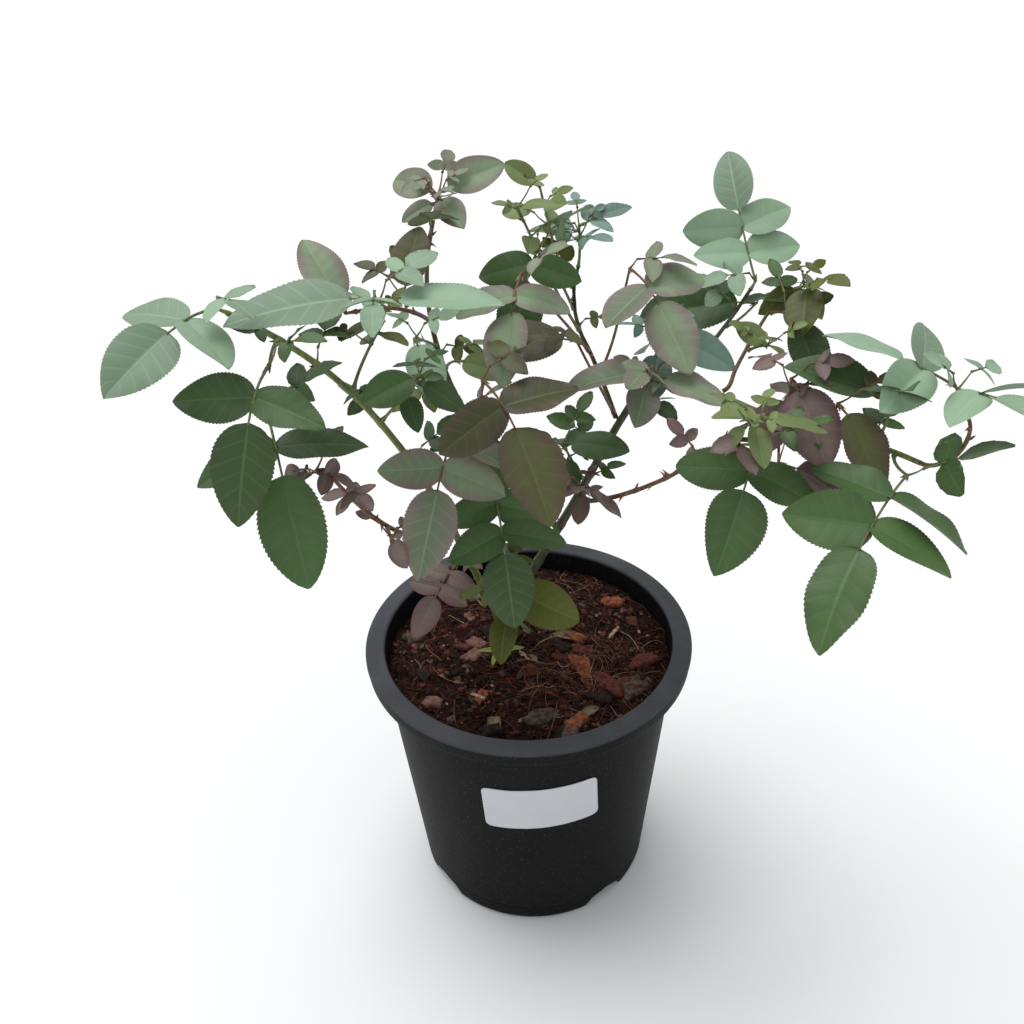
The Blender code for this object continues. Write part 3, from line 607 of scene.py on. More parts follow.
# Kind: how many, shortest and longest (mm), width and thickness over the length.
LARGE_CHIPS = {
    "dark": (9, 11, 17, 0.60, 0.30),
    "red": (10, 10, 22, 0.55, 0.25),
    "orange": (6, 11, 24, 0.45, 0.25),
    "grey": (4, 12, 24, 0.55, 0.25),
    "pink": (5, 9, 18, 0.65, 0.30),
    "pale": (3, 8, 17, 0.20, 0.12),
}
CLEAR_OF_STEM = 17 * MM             # the large ones lie at least this far from the stem
CRUMB_SKEW = 2.2                    # above 1, small crumbs outnumber large ones
CRUMB_STRETCH = (0.9, 1.9)          # length over width
CRUMB_SINK, CHIP_LIFT = 0.15, 0.1   # shares of their size: crumbs sink in, chips lie a little higher
FULL_TURN = 6.3                     # radians, round once and a hair more
for number, (kind, count, small, large, flatness) in enumerate(SCATTER):
    chance = np.random.default_rng(100 + number)
    flat = scattered(count, chance)
    size = (small + (large - small) * chance.random(count)**CRUMB_SKEW) * MM
    sizes = np.stack([size * chance.uniform(*CRUMB_STRETCH, count), size, size * flatness], axis=-1)
    headings = chance.uniform(0, FULL_TURN, count)
    crumbs = skin(rough_blocks(bedded(flat, CRUMB_SINK * size), sizes, headings, 200 + number,
                               around=6, tilt=0.5))
    count, short, long, width, thickness = LARGE_CHIPS[kind]
    away = scattered(count, chance, 12 * MM) - STEM_PLACE[:2]
    away *= np.maximum(1, CLEAR_OF_STEM / np.linalg.norm(away, axis=1, keepdims=True))
    length = chance.uniform(short, long, count)[:, None] * MM
    sizes = length * np.array([1, width, thickness]) * chance.uniform(0.85, 1.15, (count, 3))
    headings = chance.uniform(0, FULL_TURN / 2, count)
    chips = skin(rough_blocks(bedded(away + STEM_PLACE[:2], -CHIP_LIFT * sizes[:, 2]), sizes, headings,
                              300 + number, around=16, tilt=0.2))
    add_piece("chips_" + kind, joined([crumbs, chips]), [chip_finishes[kind]])

# %% [markdown]
# Fibres are thin curved hairs. Each is a path that turns steadily as it goes, with a low hump in
# its middle, and a small triangle is carried along it. More lie on the right and in front, as if
# combed there.

# %% Comb fibres over the soil
FIBRE_STATIONS = 14
FIBRES = (                          # kind, colour, how many
    ("tan", (0.26, 0.15, 0.09), 110),
    ("rust", (0.11, 0.036, 0.022), 520),
    ("straw", (0.46, 0.34, 0.22), 26),
)
FIBRE_LENGTH = (8 * MM, 32 * MM)
FIBRE_RADIUS = (0.12 * MM, 0.30 * MM)
FIBRE_CURL = 1.3                    # typical turn from end to end, in radians
FIBRE_HUMP = 1.2 * MM               # typical height of the middle over the soil
FIBRE_LIFT = 0.3 * MM               # and of the ends
FIBRE_MARGIN = 1.5 * MM             # from the soil's edge
COMBED = 0.45                       # share of the fibres that lie on the combed side
COMBED_MIDDLE = np.array([34, -26]) * MM


def fibre_rings(places, headings, lengths, curls, humps, radii):
    """Rings of many fibres: the heading grows evenly along each, and a sine hump lifts its middle."""
    share = np.linspace(0, 1, FIBRE_STATIONS)
    heading = headings[:, None] + curls[:, None] * (share - 0.5)
    step = lengths[:, None] / (FIBRE_STATIONS - 1)
    x = places[:, :1] + np.cumsum(np.cos(heading) * step, axis=1)
    y = places[:, 1:] + np.cumsum(np.sin(heading) * step, axis=1)
    inside = np.minimum(1, (SOIL_RADIUS - FIBRE_MARGIN) / np.hypot(x, y))
    x, y = x * inside, y * inside
    z = soil_height(x, y) + humps[:, None] * np.sin(np.pi * share) + FIBRE_LIFT
    sideways = np.stack([-np.sin(heading), np.cos(heading), 0 * heading], axis=-1)
    upright = np.array([0, 0, 1.0])
    angle = np.arange(3) * 2 * np.pi / 3
    taper = radii[:, None, None, None] * (1 - 0.5 * share[None, :, None, None])
    ring = sideways[:, :, None] * np.cos(angle)[:, None] + upright * np.sin(angle)[:, None]
    return np.stack([x, y, z], axis=-1)[:, :, None] + ring * taper


for number, (kind, colour, count) in enumerate(FIBRES):
    chance = np.random.default_rng(400 + number)
    flat = scattered(count, chance)
    combed = chance.random(count) < COMBED
    flat[combed] = COMBED_MIDDLE + 0.5 * flat[combed]
    finish, _ = new_finish(kind + " fibre", 0.8, colour, 0.25)
    rings = fibre_rings(flat, chance.uniform(0, FULL_TURN, count), chance.uniform(*FIBRE_LENGTH, count),
                        chance.normal(0, FIBRE_CURL, count), chance.exponential(FIBRE_HUMP, count),
                        chance.uniform(*FIBRE_RADIUS, count))
    add_piece("fibres_" + kind, skin(rings), [finish])

# %% [markdown]
# ## Where the canes go
#
# A cane can be drawn point by point, but a shoot is easier to describe as it grows: how long it is,
# and through which directions it turns. The solids were grown by such rows, and the same rows and
# the same rule are written here again, so that bark and leaves grow exactly where the solids are. A
# shoot leaves its parent's skin with a clearance of 0.3 mm, leans along it for a moment, and then
# turns evenly.

# %% The limbs' design rows
STEM_FLARE = ((0, 1.75), (2, 1.45), (5, 1.2), (9, 1.08), (15, 1))   # height (mm), share of radius
# Name, what it grows from and at which share of that, length (mm), the headings and rises (degrees)
# that it turns through evenly, foot and tip diameters (mm).
LIMBS = (
    ("cane_main", None, 0, 184, ((-5, 76), (4, 62), (10, 60), (20, 60), (20, 58), (8, 6)), 6.4, 3.9),
    ("cane_left", "cane_main", 0.14, 280, ((204, 72), (210, 70), (222, 58), (212, 38)), 4.9, 2.7),
    ("cane_centre", "cane_main", 0.32, 222,
     ((180, 86), (172, 82), (166, 62), (128, 76), (46, 66)), 4.3, 2.2),
    ("bough_low_left", "cane_left", 0.34, 122, ((245, 20), (238, 46), (216, 64)), 3.0, 1.9),
    ("bough_centre_left", "cane_centre", 0.78, 62, ((255, 38), (235, 26), (228, 8)), 2.6, 1.8),
    ("bough_right", "cane_main", 1, 142, ((322, -8), (316, -4), (316, 8), (306, 0)), 3.6, 2.6),
    ("bough_right_tip", "bough_right", 1, 42, ((325, 10), (30, 60), (108, 18)), 2.4, 1.7),
    ("bough_top_right", "bough_right", 0.08, 60, ((34, 28), (36, 38), (40, 42)), 2.8, 2.0),
    ("bough_upper_right", "bough_right", 0.22, 76, ((54, 38), (46, 38), (40, 30)), 2.6, 1.6),
    ("bough_centre_top", "cane_main", 0.84, 92, ((112, 44), (122, 44), (66, 42)), 3.0, 1.9),
    ("bough_low_right", "cane_main", 0.62, 128, ((300, 28), (322, 38), (314, 54)), 3.0, 1.9),
)
LIMB_STEP = 13 * MM                 # length of a limb's straight facets
COLLAR_LEAN = 0.6                   # how far a shoot's foot leans along its parent
COLLAR_LENGTH = 1.5                 # straight length of a shoot's foot over its radius

# %% The growth rule for limbs


def heading_rise(heading, rise):
    """The unit vector of a heading in plan and a rise above the horizontal, both in degrees."""
    flat = math.cos(math.radians(rise))
    turn = math.radians(heading)
    return Vector((flat * math.cos(turn), flat * math.sin(turn), math.sin(math.radians(rise))))


def square_to(vector, axis):
    """The unit part of a vector that is square to a unit axis."""
    return (vector - axis * vector.dot(axis)).normalized()


def swept_route(start, length, ways, step, fewest=1):
    """Points along a shoot that sets out the first way and turns evenly through the others."""
    count = max(fewest, round(length / step))
    route = [start]
    for i in range(count):
        place = (i + 0.5) / count * (len(ways) - 1)
        turn = min(int(place), len(ways) - 2)
        way = ways[turn].lerp(ways[turn + 1], place - turn).normalized()
        route.append(route[-1] + way * (length / count))
    return route


def tapering(route, radii):
    """One radius for each point of a route, from the foot's to the tip's."""
    last = len(route) - 1
    return [radii[0] + (radii[1] - radii[0]) * i / last for i in range(last + 1)]


def seat(limb, share, way, foot):
    """Where a shoot of the given foot radius leaves a limb: its start, its collar and its first way.

    From the limb's tip it goes straight on. From its side it leans along the limb, and starts far
    enough out for its tilted foot to clear the skin.
    """
    route, radii = limb
    last = len(route) - 1
    nearest = round(share * last)
    along = (route[min(nearest + 1, last)] - route[max(nearest - 1, 0)]).normalized()
    if nearest == last:
        start, lean = route[-1] + along * GAP, along
    else:
        out = square_to(way, along)
        lean = (out + along * COLLAR_LEAN).normalized()
        start = route[nearest] + out * (radii[nearest] + GAP + foot * lean.dot(along))
    return start, start + lean * foot * COLLAR_LENGTH, lean


# %% Grow the limbs


def main_stem(length, ways, foot, tip):
    """The main stem's route and radii: it flares to a foot that stands on the mix."""
    base = [STEM_PLACE + Vector((0, 0, height * MM)) for height, _ in STEM_FLARE]
    route = base[:-1] + swept_route(base[-1], length, ways, LIMB_STEP)
    radii = tapering(route, (foot, tip))
    for i, (_, share) in enumerate(STEM_FLARE):
        radii[i] *= share
    return route, radii


limbs = {}
for name, parent, share, length, turns, foot, tip in LIMBS:
    length *= MM
    ways = [heading_rise(*turn) for turn in turns]
    foot, tip = foot / 2 * MM, tip / 2 * MM
    if parent is None:
        limbs[name] = main_stem(length, ways, foot, tip)
        continue
    start, collar, _ = seat(limbs[parent], share, ways[0], foot)
    route = [start] + swept_route(collar, length, ways, LIMB_STEP)
    limbs[name] = (route, tapering(route, (foot, tip)))
print("limbs:", len(limbs), " points:", sum(len(route) for route, _ in limbs.values()))

# %% [markdown]
# ## Bark
#
# Rose bark is a tight green or brown skin. It swells at each node, where a leaf sat, and is faintly
# ridged along its length. A curve with a bevel would be a smooth hose, so each cane is a stack of
# rings on a finer curve, and the ring's radius carries the swellings and the ridges. A node gets a
# bud, and curved prickles stand between the nodes.

# %% Carry rings along a path
RING_STEP = 1.5 * MM


def unit(vectors):
    """The same directions at length one."""
    return vectors / np.linalg.norm(vectors, axis=-1, keepdims=True)


def refined(route, radii, step=None, count=None):
    """A route read again at even steps of its length, on cubics with the slopes of its neighbours."""
    points = np.array(route)
    run = np.concatenate([[0], np.cumsum(np.linalg.norm(np.diff(points, axis=0), axis=1))])
    count = count or max(3, round(run[-1] / step) + 1)
    at = np.linspace(0, run[-1], count)
    slope = np.gradient(points, run, axis=0)
    k = np.clip(np.searchsorted(run, at, side="right") - 1, 0, len(points) - 2)
    span = (run[k + 1] - run[k])[:, None]
    t = (at - run[k])[:, None] / span
    curve = (points[k] * (2 * t**3 - 3 * t**2 + 1) + slope[k] * span * (t**3 - 2 * t**2 + t)
             + points[k + 1] * (3 * t**2 - 2 * t**3) + slope[k + 1] * span * (t**3 - t**2))
    return curve, np.interp(at, run, radii), at


def path_frame(curve):
    """Two unit vectors square to a path at each point: crossed from the axis that it follows least."""
    way = unit(np.gradient(curve, axis=0))
    helper = np.eye(3)[np.abs(way).max(axis=0).argmin()]
    across = unit(np.cross(way, helper))
    return across, np.cross(way, across)


def tube_rings(curve, radii, around):
    """Rings along a path: radii holds one number for each ring, or one for each point of each ring."""
    across, other = path_frame(curve)
    turn = np.linspace(0, 2 * np.pi, around, endpoint=False)[:, None]
    way_out = across[:, None] * np.cos(turn) + other[:, None] * np.sin(turn)
    return curve[:, None] + way_out * radii.reshape(len(curve), -1, 1)


# %% Bark finishes


def bark_finish(name, dark, light, patch):
    """Streaks along Z between two colours, from stretched noise, with patches of a third."""
    made, tree = new_finish(name, 0.5, specular=0.4)
    streak = eased(tree, grain(tree, 500, 4, (1, 1, 0.18)), 0.35, 0.65)
    colour = mixed(tree, streak, dark, light)
    colour = mixed(tree, eased(tree, grain(tree, 45, 3), 0.50, 0.66), colour, patch)
    paint(tree, colour)
    bump(tree, grain(tree, 900, 4, (1, 1, 0.25)), 0.00015)
    return made


BARK_COLOURS = {                    # dark and light streaks, patches
    "olive": ((0.035, 0.040, 0.016), (0.075, 0.085, 0.030), (0.070, 0.048, 0.026)),
    "green": ((0.110, 0.140, 0.035), (0.200, 0.240, 0.070), (0.160, 0.105, 0.045)),
    "brown": ((0.110, 0.070, 0.030), (0.210, 0.140, 0.060), (0.100, 0.085, 0.030)),
    "red": ((0.100, 0.042, 0.024), (0.190, 0.090, 0.050), (0.120, 0.110, 0.045)),
}
BARKS = {name: bark_finish(name + " bark", *colours) for name, colours in BARK_COLOURS.items()}
LIMB_BARK = {
    "cane_main": "olive", "cane_left": "green", "cane_centre": "brown", "bough_low_left": "red",
    "bough_centre_left": "red", "bough_right": "green", "bough_right_tip": "brown",
    "bough_top_right": "olive", "bough_upper_right": "brown", "bough_centre_top": "olive",
    "bough_low_right": "red",
}
print("barks:", {bark: list(LIMB_BARK.values()).count(bark) for bark in BARKS})

# %% Wrap each limb in bark
BARK_SIDES = 18
NODE_SPACING = (21 * MM, 33 * MM)
NODE_SWELL = 0.16                   # share of the radius
NODE_LENGTH = 2.2 * MM
RIDGE = 0.035                       # share of the radius
RIDGE_TURNS, RIDGE_LENGTH = 3, 7 * MM           # the noise's size round a limb and along it
nodes_on = {}                       # each limb's curve, its radii, its lengths and where its nodes are
for number, (name, (route, radii)) in enumerate(limbs.items()):
    chance = np.random.default_rng(500 + number)
    curve, thick, at = refined(route, radii, step=RING_STEP)
    marks = np.cumsum(chance.uniform(*NODE_SPACING, 20))
    marks = marks[marks < at[-1] - 5 * MM]
    nodes_on[name] = (curve, thick, at, marks)
    swell = 1 + NODE_SWELL * np.exp(-((at[:, None] - marks) / NODE_LENGTH)**2).sum(axis=1)
    turn = np.linspace(0, 2 * np.pi, BARK_SIDES, endpoint=False)
    streaks = np.stack([np.cos(turn) * RIDGE_TURNS + 0 * at[:, None],
                        np.sin(turn) * RIDGE_TURNS + 0 * at[:, None],
                        at[:, None] / RIDGE_LENGTH + 0 * turn], axis=-1)
    ridged = 1 + RIDGE * noise(streaks, 1.0, 510 + number, 2)
    rings = tube_rings(curve, (thick * swell)[:, None] * ridged, BARK_SIDES)
    add_piece(name + "_bark", skin(rings[None]), [BARKS[LIMB_BARK[name]]], [name])

# %% The shapes of buds and prickles
PRICKLES = {"cane_main": 7, "cane_left": 9, "cane_centre": 6, "bough_right": 5, "bough_low_right": 5,
            "bough_low_left": 4, "bough_top_right": 2, "bough_upper_right": 3, "bough_centre_top": 2,
            "bough_right_tip": 2}
# Length and width (mm), width shares from foot to point, and how far the point bends along the limb.
THORN = ((2.8, 4.4), (0.9, 1.4), np.array([1.3, 0.8, 0.5, 0.3, 0.06]), -0.5)
BUD = ((2.2, 3.6), (0.8, 1.15), np.array([0.7, 1.05, 1.0, 0.65, 0.12]), 0.25)
BUD_LEAN = 0.8                      # how far a bud leans along its limb
HORN_FLATNESS = 0.55                # thickness across the limb over that along it
HORN_FOOT = 0.8                     # how far from the limb's middle it starts, over the radius
BARE_ENDS = (12 * MM, 6 * MM)       # of each limb, without prickles


def horn_rings(feet, outs, ups, kind, chance):
    """Rings of many small horns: they shrink by the profile and bend by the square of the height."""
    span, breadth, profile, hook = kind
    lengths = chance.uniform(*span, len(feet)) * MM
    widths = chance.uniform(*breadth, len(feet)) * MM
    share = np.linspace(0, 1, len(profile))[:, None]
    side = np.cross(ups, outs)
    spine = (feet[:, None] + outs[:, None] * (share * lengths[:, None, None])
             + ups[:, None] * (hook * share**2 * lengths[:, None, None]))
    turn = np.linspace(0, 2 * np.pi, 6, endpoint=False)[:, None]
    reach = (profile * widths[:, None])[:, :, None, None]
    way_out = side[:, None, None] * np.cos(turn) * HORN_FLATNESS - ups[:, None, None] * np.sin(turn)
    return spine[:, :, None] + way_out * reach


def on_limb(name, at_places, turns):
    """Points on a limb's skin: foot, outward direction and direction along the limb."""
    curve, thick, at, _ = nodes_on[name]
    index = np.searchsorted(at, at_places).clip(1, len(at) - 2)
    across, other = path_frame(curve)
    out = across[index] * np.cos(turns)[:, None] + other[index] * np.sin(turns)[:, None]
    foot = curve[index] + out * thick[index][:, None] * HORN_FOOT
    return foot, out, unit(curve[index + 1] - curve[index - 1])


# %% Set them on the limbs
chance = np.random.default_rng(600)
prickles, buds = [], []
for name, count in PRICKLES.items():
    _, _, at, _ = nodes_on[name]
    places = chance.uniform(BARE_ENDS[0], at[-1] - BARE_ENDS[1], count)
    foot, out, up = on_limb(name, places, chance.uniform(0, FULL_TURN, count))
    prickles.append(horn_rings(foot, out, up, THORN, chance))
for name, (_, _, _, marks) in nodes_on.items():
    foot, out, up = on_limb(name, marks, chance.uniform(0, FULL_TURN, len(marks)))
    buds.append(horn_rings(foot, unit(out + BUD_LEAN * up), up, BUD, chance))
prickle_finish, tree = new_finish("prickle", 0.4)
paint(tree, mixed(tree, grain(tree, 300), (0.16, 0.05, 0.03), (0.30, 0.16, 0.07)))
bud_finish, tree = new_finish("bud", 0.5)
paint(tree, mixed(tree, grain(tree, 400), (0.13, 0.04, 0.03), (0.16, 0.15, 0.05)))
add_piece("prickles", skin(np.concatenate(prickles)), [prickle_finish])
add_piece("buds", skin(np.concatenate(buds)), [bud_finish])

# %% [markdown]
# ## Where the leaves go
#
# A rose leaf is a stalk with pairs of toothed leaflets and one at its end, and each leaf sits two
# fifths of a turn round from the next. Scattering leaves over a cloud would lose that order, so the
# rule that grew the solids grows these too, drawn in the same seeded order: each fine leaflet lies
# in its faceted one. A row says where a mass's stem leaves its limb, and how many leaves of what
# size it bears.

# %% The foliage's design rows
# Name, limb that carries it and at which share, its stem's length (mm), heading and rise,
# its leaves: how many, heading and rise of the first, pairs of side leaflets, end leaflet (mm), tint.
FOLIAGE = (
    ("leaves_left_tip", "cane_left", 1, 5, (205, 30), 1, (242, -22), 1, 38, "sage"),
    ("leaves_left_big", "bough_centre_left", 0.85, 42, (272, 26), 2, (202, 12), 0, 55, "sage"),
    ("leaves_left_hanging", "cane_left", 0.90, 26, (276, 0), 1, (256, -42), 1, 42, "deep"),
    ("leaf_left_low", "cane_left", 0.82, 30, (228, -26), 1, (282, -48), 1, 50, "deep"),
    ("leaves_left_mid", "cane_left", 0.66, 38, (330, 50), 4, (215, -18), 0, 27, "deep"),
    ("leaves_left_inner", "cane_left", 0.72, 34, (40, 48), 3, (190, 0), 0, 19, "olive"),
    ("leaves_low_left", "bough_low_left", 1, 8, (210, -10), 2, (200, -15), 1, 15, "wine"),
    ("leaves_low_left_inner", "bough_low_left", 0.55, 10, (285, 5), 2, (285, -25), 0, 16, "wine"),
    ("leaf_over_rim", "cane_left", 0.28, 8, (245, 15), 1, (250, -34), 2, 24, "wine"),
    ("leaf_fore_left", "cane_centre", 0.58, 28, (276, 18), 1, (262, -46), 2, 44, "plum"),
    ("leaves_centre_low_left", "cane_centre", 0.70, 28, (252, 28), 2, (280, -42), 0, 30, "sage"),
    ("leaf_fore_centre", "cane_centre", 0.36, 36, (262, 44), 1, (276, -46), 2, 39, "deep"),
    ("leaves_fore_centre_left", "cane_centre", 0.44, 34, (252, 28), 3, (325, -18), 0, 28, "deep"),
    ("leaves_base", "cane_main", 0.08, 94, (268, 66), 4, (335, -14), 0, 36, "olive"),
    ("leaves_centre_side", "bough_centre_left", 1, 5, (230, 12), 1, (118, 54), 0, 36, "plum"),
    ("leaf_centre_up", "bough_centre_left", 0.45, 4, (110, 50), 1, (84, 60), 0, 32, "bronze"),
    ("leaves_centre_curl", "cane_centre", 0.66, 14, (300, 30), 1, (344, 4), 0, 27, "lime"),
    ("leaves_centre_top", "cane_centre", 1, 12, (60, 60), 5, (5, 8), 0, 31, "plum"),
    ("leaf_mid_left", "bough_centre_top", 0.50, 78, (226, 48), 1, (256, -50), 1, 38, "plum"),
    ("leaves_mid_low", "bough_centre_top", 0.14, 56, (208, 64), 1, (198, -2), 0, 40, "bronze"),
    ("leaf_mid_front", "cane_centre", 0.52, 68, (277, 50), 1, (290, -40), 1, 48, "bronze"),
    ("leaves_main_side", "cane_main", 0.66, 30, (214, 64), 3, (340, 6), 0, 32, "deep"),
    ("leaf_dark_centre", "bough_centre_top", 0.76, 46, (208, 66), 1, (244, -46), 1, 38, "deep"),
    ("leaves_top_left", "bough_centre_top", 0.62, 78, (150, 62), 5, (336, 8), 0, 21, "lime"),
    ("leaves_top_middle", "bough_centre_top", 0.92, 58, (122, 66), 3, (150, 25), 0, 20, "lime"),
    ("leaves_top_right", "bough_centre_top", 1, 22, (100, 80), 4, (20, 10), 1, 20, "blue"),
    ("leaf_mid_right", "bough_centre_top", 0.38, 58, (40, 74), 1, (290, -40), 1, 42, "plum"),
    ("leaf_right_green", "bough_top_right", 0.72, 32, (46, 14), 1, (174, 0), 0, 56, "deep"),
    ("leaves_right_centre", "cane_main", 0.96, 26, (50, 52), 3, (322, -16), 0, 36, "blue"),
    ("leaves_right_low", "cane_main", 0.90, 32, (306, 54), 4, (180, 4), 0, 42, "plum"),
    ("leaf_summit", "bough_top_right", 1, 4, (44, 46), 1, (104, 44), 2, 38, "sage"),
    ("leaves_upper_right_inner", "bough_upper_right", 0.45, 12, (310, 25), 3, (152, 25), 0, 17, "lime"),
    ("leaves_upper_right_tip", "bough_upper_right", 0.92, 14, (330, 34), 4, (258, -18), 0, 30, "olive"),
    ("leaves_upper_right_low", "bough_upper_right", 0.72, 14, (290, 0), 2, (284, -46), 0, 32, "deep"),
    ("leaves_wine_upper", "bough_right", 0.46, 32, (250, 66), 3, (296, -36), 0, 40, "wine"),
    ("leaves_wine_lower", "bough_right", 0.54, 34, (257, -6), 1, (336, -16), 0, 48, "wine"),
    ("leaves_rosette", "bough_low_right", 1, 16, (320, 34), 5, (350, 4), 0, 27, "lime"),
    ("leaf_right_hanging", "bough_low_right", 0.90, 20, (10, -6), 1, (236, -34), 1, 42, "deep"),
    ("leaves_new_red", "bough_low_right", 0.16, 22, (272, 44), 4, (184, -4), 0, 24, "wine"),
    ("leaves_right_tip", "bough_right_tip", 1, 8, (100, 22), 2, (150, 8), 1, 38, "sage"),
    ("leaves_right_green", "bough_right", 0.80, 20, (70, 62), 1, (170, 8), 0, 44, "deep"),
    ("leaf_lower_right", "bough_right", 0.92, 14, (288, -4), 1, (240, -34), 2, 50, "deep"),
    ("leaf_dark_hanging", "bough_right", 0.64, 26, (262, 58), 1, (304, -36), 0, 40, "bronze"),
)
# Mass, leaf and leaflets that would pass through a neighbour, so they don't grow.
CROWDED_OUT = (("leaf_fore_left", 0, (3,)), ("leaves_right_low", 2, (0,)))

# %% The growth rule for leaves
LIGHT = Vector((0, -0.35, 0.94))    # upper faces lean towards the light
LEAF_TURN = 144                     # degrees from a leaf to the next one down, two turns in five leaves
LEAFY_SHARE = 0.55                  # of the stem's length, from its tip down, carries the leaves
LEAF_SHRINK = 0.86                  # a leaf's size over that of the leaf above it
LEAF_DROOP = 8                      # degrees that a leaf hangs below the way of the leaf above it
STALK_RISE = 35                     # a stalk sets out halfway between this rise and its leaf's own
LONE_STALK = 0.22                   # stalk of a leaf with no pairs, over its blade's length
LEAF_STALK = 0.45                   # stalk below the first pair, over the end leaflet's length
PAIR_SPACING = 0.42                 # of the end leaflet's length
END_STALK = 0.30                    # of the end leaflet's length
SIDE_ANGLE = 78                     # degrees between the leaf's axis and a side leaflet
SIDE_SIZE = 0.82                    # a side leaflet's length over the end leaflet's
BLADE_WIDTH = (0.55, 0.70)          # width over length, narrowest and widest
ROOT_SUNK = 1.2 * MM                # a blade starts this far back inside its stalk
TURN_WOBBLE = 12                    # degrees, seeded by the mass's name
ROLL_WOBBLE = 28                    # degrees about the blade's own length
SIZE_WOBBLE = 0.10
STEM_RADII = (1.1 * MM, 0.8 * MM)
STALK_RADII = (0.85 * MM, 0.6 * MM)
TWIG_STEP = 16 * MM
STALK_STEP = 12 * MM


def wobble(chance, most):
    """A seeded number between -most and most."""
    return chance.uniform(-most, most)


def upper_side(axis):
    """The direction that a leaf's upper face looks: square to its axis, towards the light."""
    return square_to(LIGHT, axis)


def back_along(route, distance):
    """The point that lies a distance back from a route's end, and the route's direction there."""
    for behind, ahead in zip(route[-2::-1], route[:0:-1]):
        span = (ahead - behind).length
        if distance <= span or behind is route[0]:
            way = (ahead - behind).normalized()
            return ahead - way * min(distance, span), way
        distance -= span


# %% Plan a leaf


def leaflet_plan(base, way, normal, length, chance):
    """A leaflet, rolled about its own length by the mass's seed: base, way, normal, length, width."""
    turned = Matrix.Rotation(math.radians(wobble(chance, ROLL_WOBBLE)), 3, way) @ normal
    return base, way, turned, length, length * chance.uniform(*BLADE_WIDTH)


def pair_plan(place, axis, length, chance):
    """Two leaflets that face each other across a leaf's axis."""
    normal = upper_side(axis)
    pair = []
    for hand in (1, -1):
        angle = math.radians(SIDE_ANGLE + wobble(chance, TURN_WOBBLE))
        out = (axis * math.cos(angle) + normal.cross(axis) * (hand * math.sin(angle))).normalized()
        size = length * (1 + wobble(chance, SIZE_WOBBLE))
        pair.append(leaflet_plan(place, out, square_to(normal, out), size, chance))
    return pair


def leaf_plan(node, heading, rise, pairs, length, chance):
    """One leaf's stalk route, which bends to the leaf's own way, and its leaflets."""
    end_way = heading_rise(heading, rise)
    first_way = heading_rise(heading, (rise + STALK_RISE) / 2)
    reach = LEAF_STALK + (pairs - 1) * PAIR_SPACING + END_STALK if pairs else LONE_STALK
    stalk = swept_route(node, length * reach, (first_way, end_way), STALK_STEP)
    leaflets = []
    for i in range(pairs):
        place, axis = back_along(stalk, (END_STALK + i * PAIR_SPACING) * length)
        leaflets += pair_plan(place, axis, length * SIDE_SIZE, chance)
    leaflets.append(leaflet_plan(stalk[-1], end_way, upper_side(end_way), length, chance))
    return stalk, leaflets


# %% Plan a mass of leaves


def stem_of(row, limbs):
    """The route of a mass's stem: it leaves its limb's collar and turns to its own way."""
    _, limb, share, length, turn, *_ = row
    way = heading_rise(*turn)
    start, collar, lean = seat(limbs[limb], share, way, STEM_RADII[0])
    return [start] + swept_route(collar, length * MM, (lean, way, way), TWIG_STEP, 2)


def leaves_of(row, stem):
    """The mass's leaves, from its tip down, each two fifths of a turn round from the one above it."""
    name, _, _, reach, _, count, (heading, rise), pairs, length, _ = row
    spacing = reach * MM * LEAFY_SHARE / count
    chance = random.Random(name)
    leaves = []
    for i in range(count):
        node, _ = back_along(stem, i * spacing)
        turn = heading + i * LEAF_TURN + wobble(chance, TURN_WOBBLE)
        slope = rise - i * LEAF_DROOP + wobble(chance, TURN_WOBBLE)
        leaves.append(leaf_plan(node, turn, slope, pairs, length * MM * LEAF_SHRINK**i, chance))
    return leaves


# %% Grow every mass's plan
crowded = {(mass, leaf, leaflet) for mass, leaf, which in CROWDED_OUT for leaflet in which}
leaflets_of = {}
masses_with = {}
stems, stalks = [], []
for row in FOLIAGE:
    name, tint = row[0], row[-1]
    stem = stem_of(row, limbs)
    stems.append((stem, tint))
    masses_with.setdefault(tint, []).append(name)
    for number, (route, leaflets) in enumerate(leaves_of(row, stem)):
        grown = [leaflet for k, leaflet in enumerate(leaflets) if (name, number, k) not in crowded]
        if grown:
            stalks.append((route, tint))
        leaflets_of.setdefault(tint, []).extend(grown)
print("leaflets by tint:", {tint: len(found) for tint, found in leaflets_of.items()})

# %% [markdown]
# ## Finer twigs
#
# In the joint of nearly every leaf sits a young shoot with a small leaf, the nodes of the limbs
# bear short leafy spurs, and where a stalk leaves its stem it wears two narrow wings, the stipules.
# The solids stop short of these. They grow by the same rule from the same limbs, each two fifths of
# a turn past the one before, well within the bush's reach. A leaflet that would come too near a
# limb doesn't grow.

# %% Keep clear of the limbs
ROOM = 3.2 * MM                     # from a blade's middle line to a limb's
NEAR_BASE = 0.35                    # this share of the line may be closer
limb_points = np.concatenate([curve for curve, _, _, _ in nodes_on.values()])


def clear(leaflet):
    """Whether the outer two thirds of a blade's middle line keep their distance from every limb."""
    base, way, _, length, _ = leaflet
    line = np.array(base) + np.linspace(NEAR_BASE, 1, 5)[:, None] * np.array(way) * length
    return np.linalg.norm(line[:, None] - limb_points, axis=-1).min() > ROOM


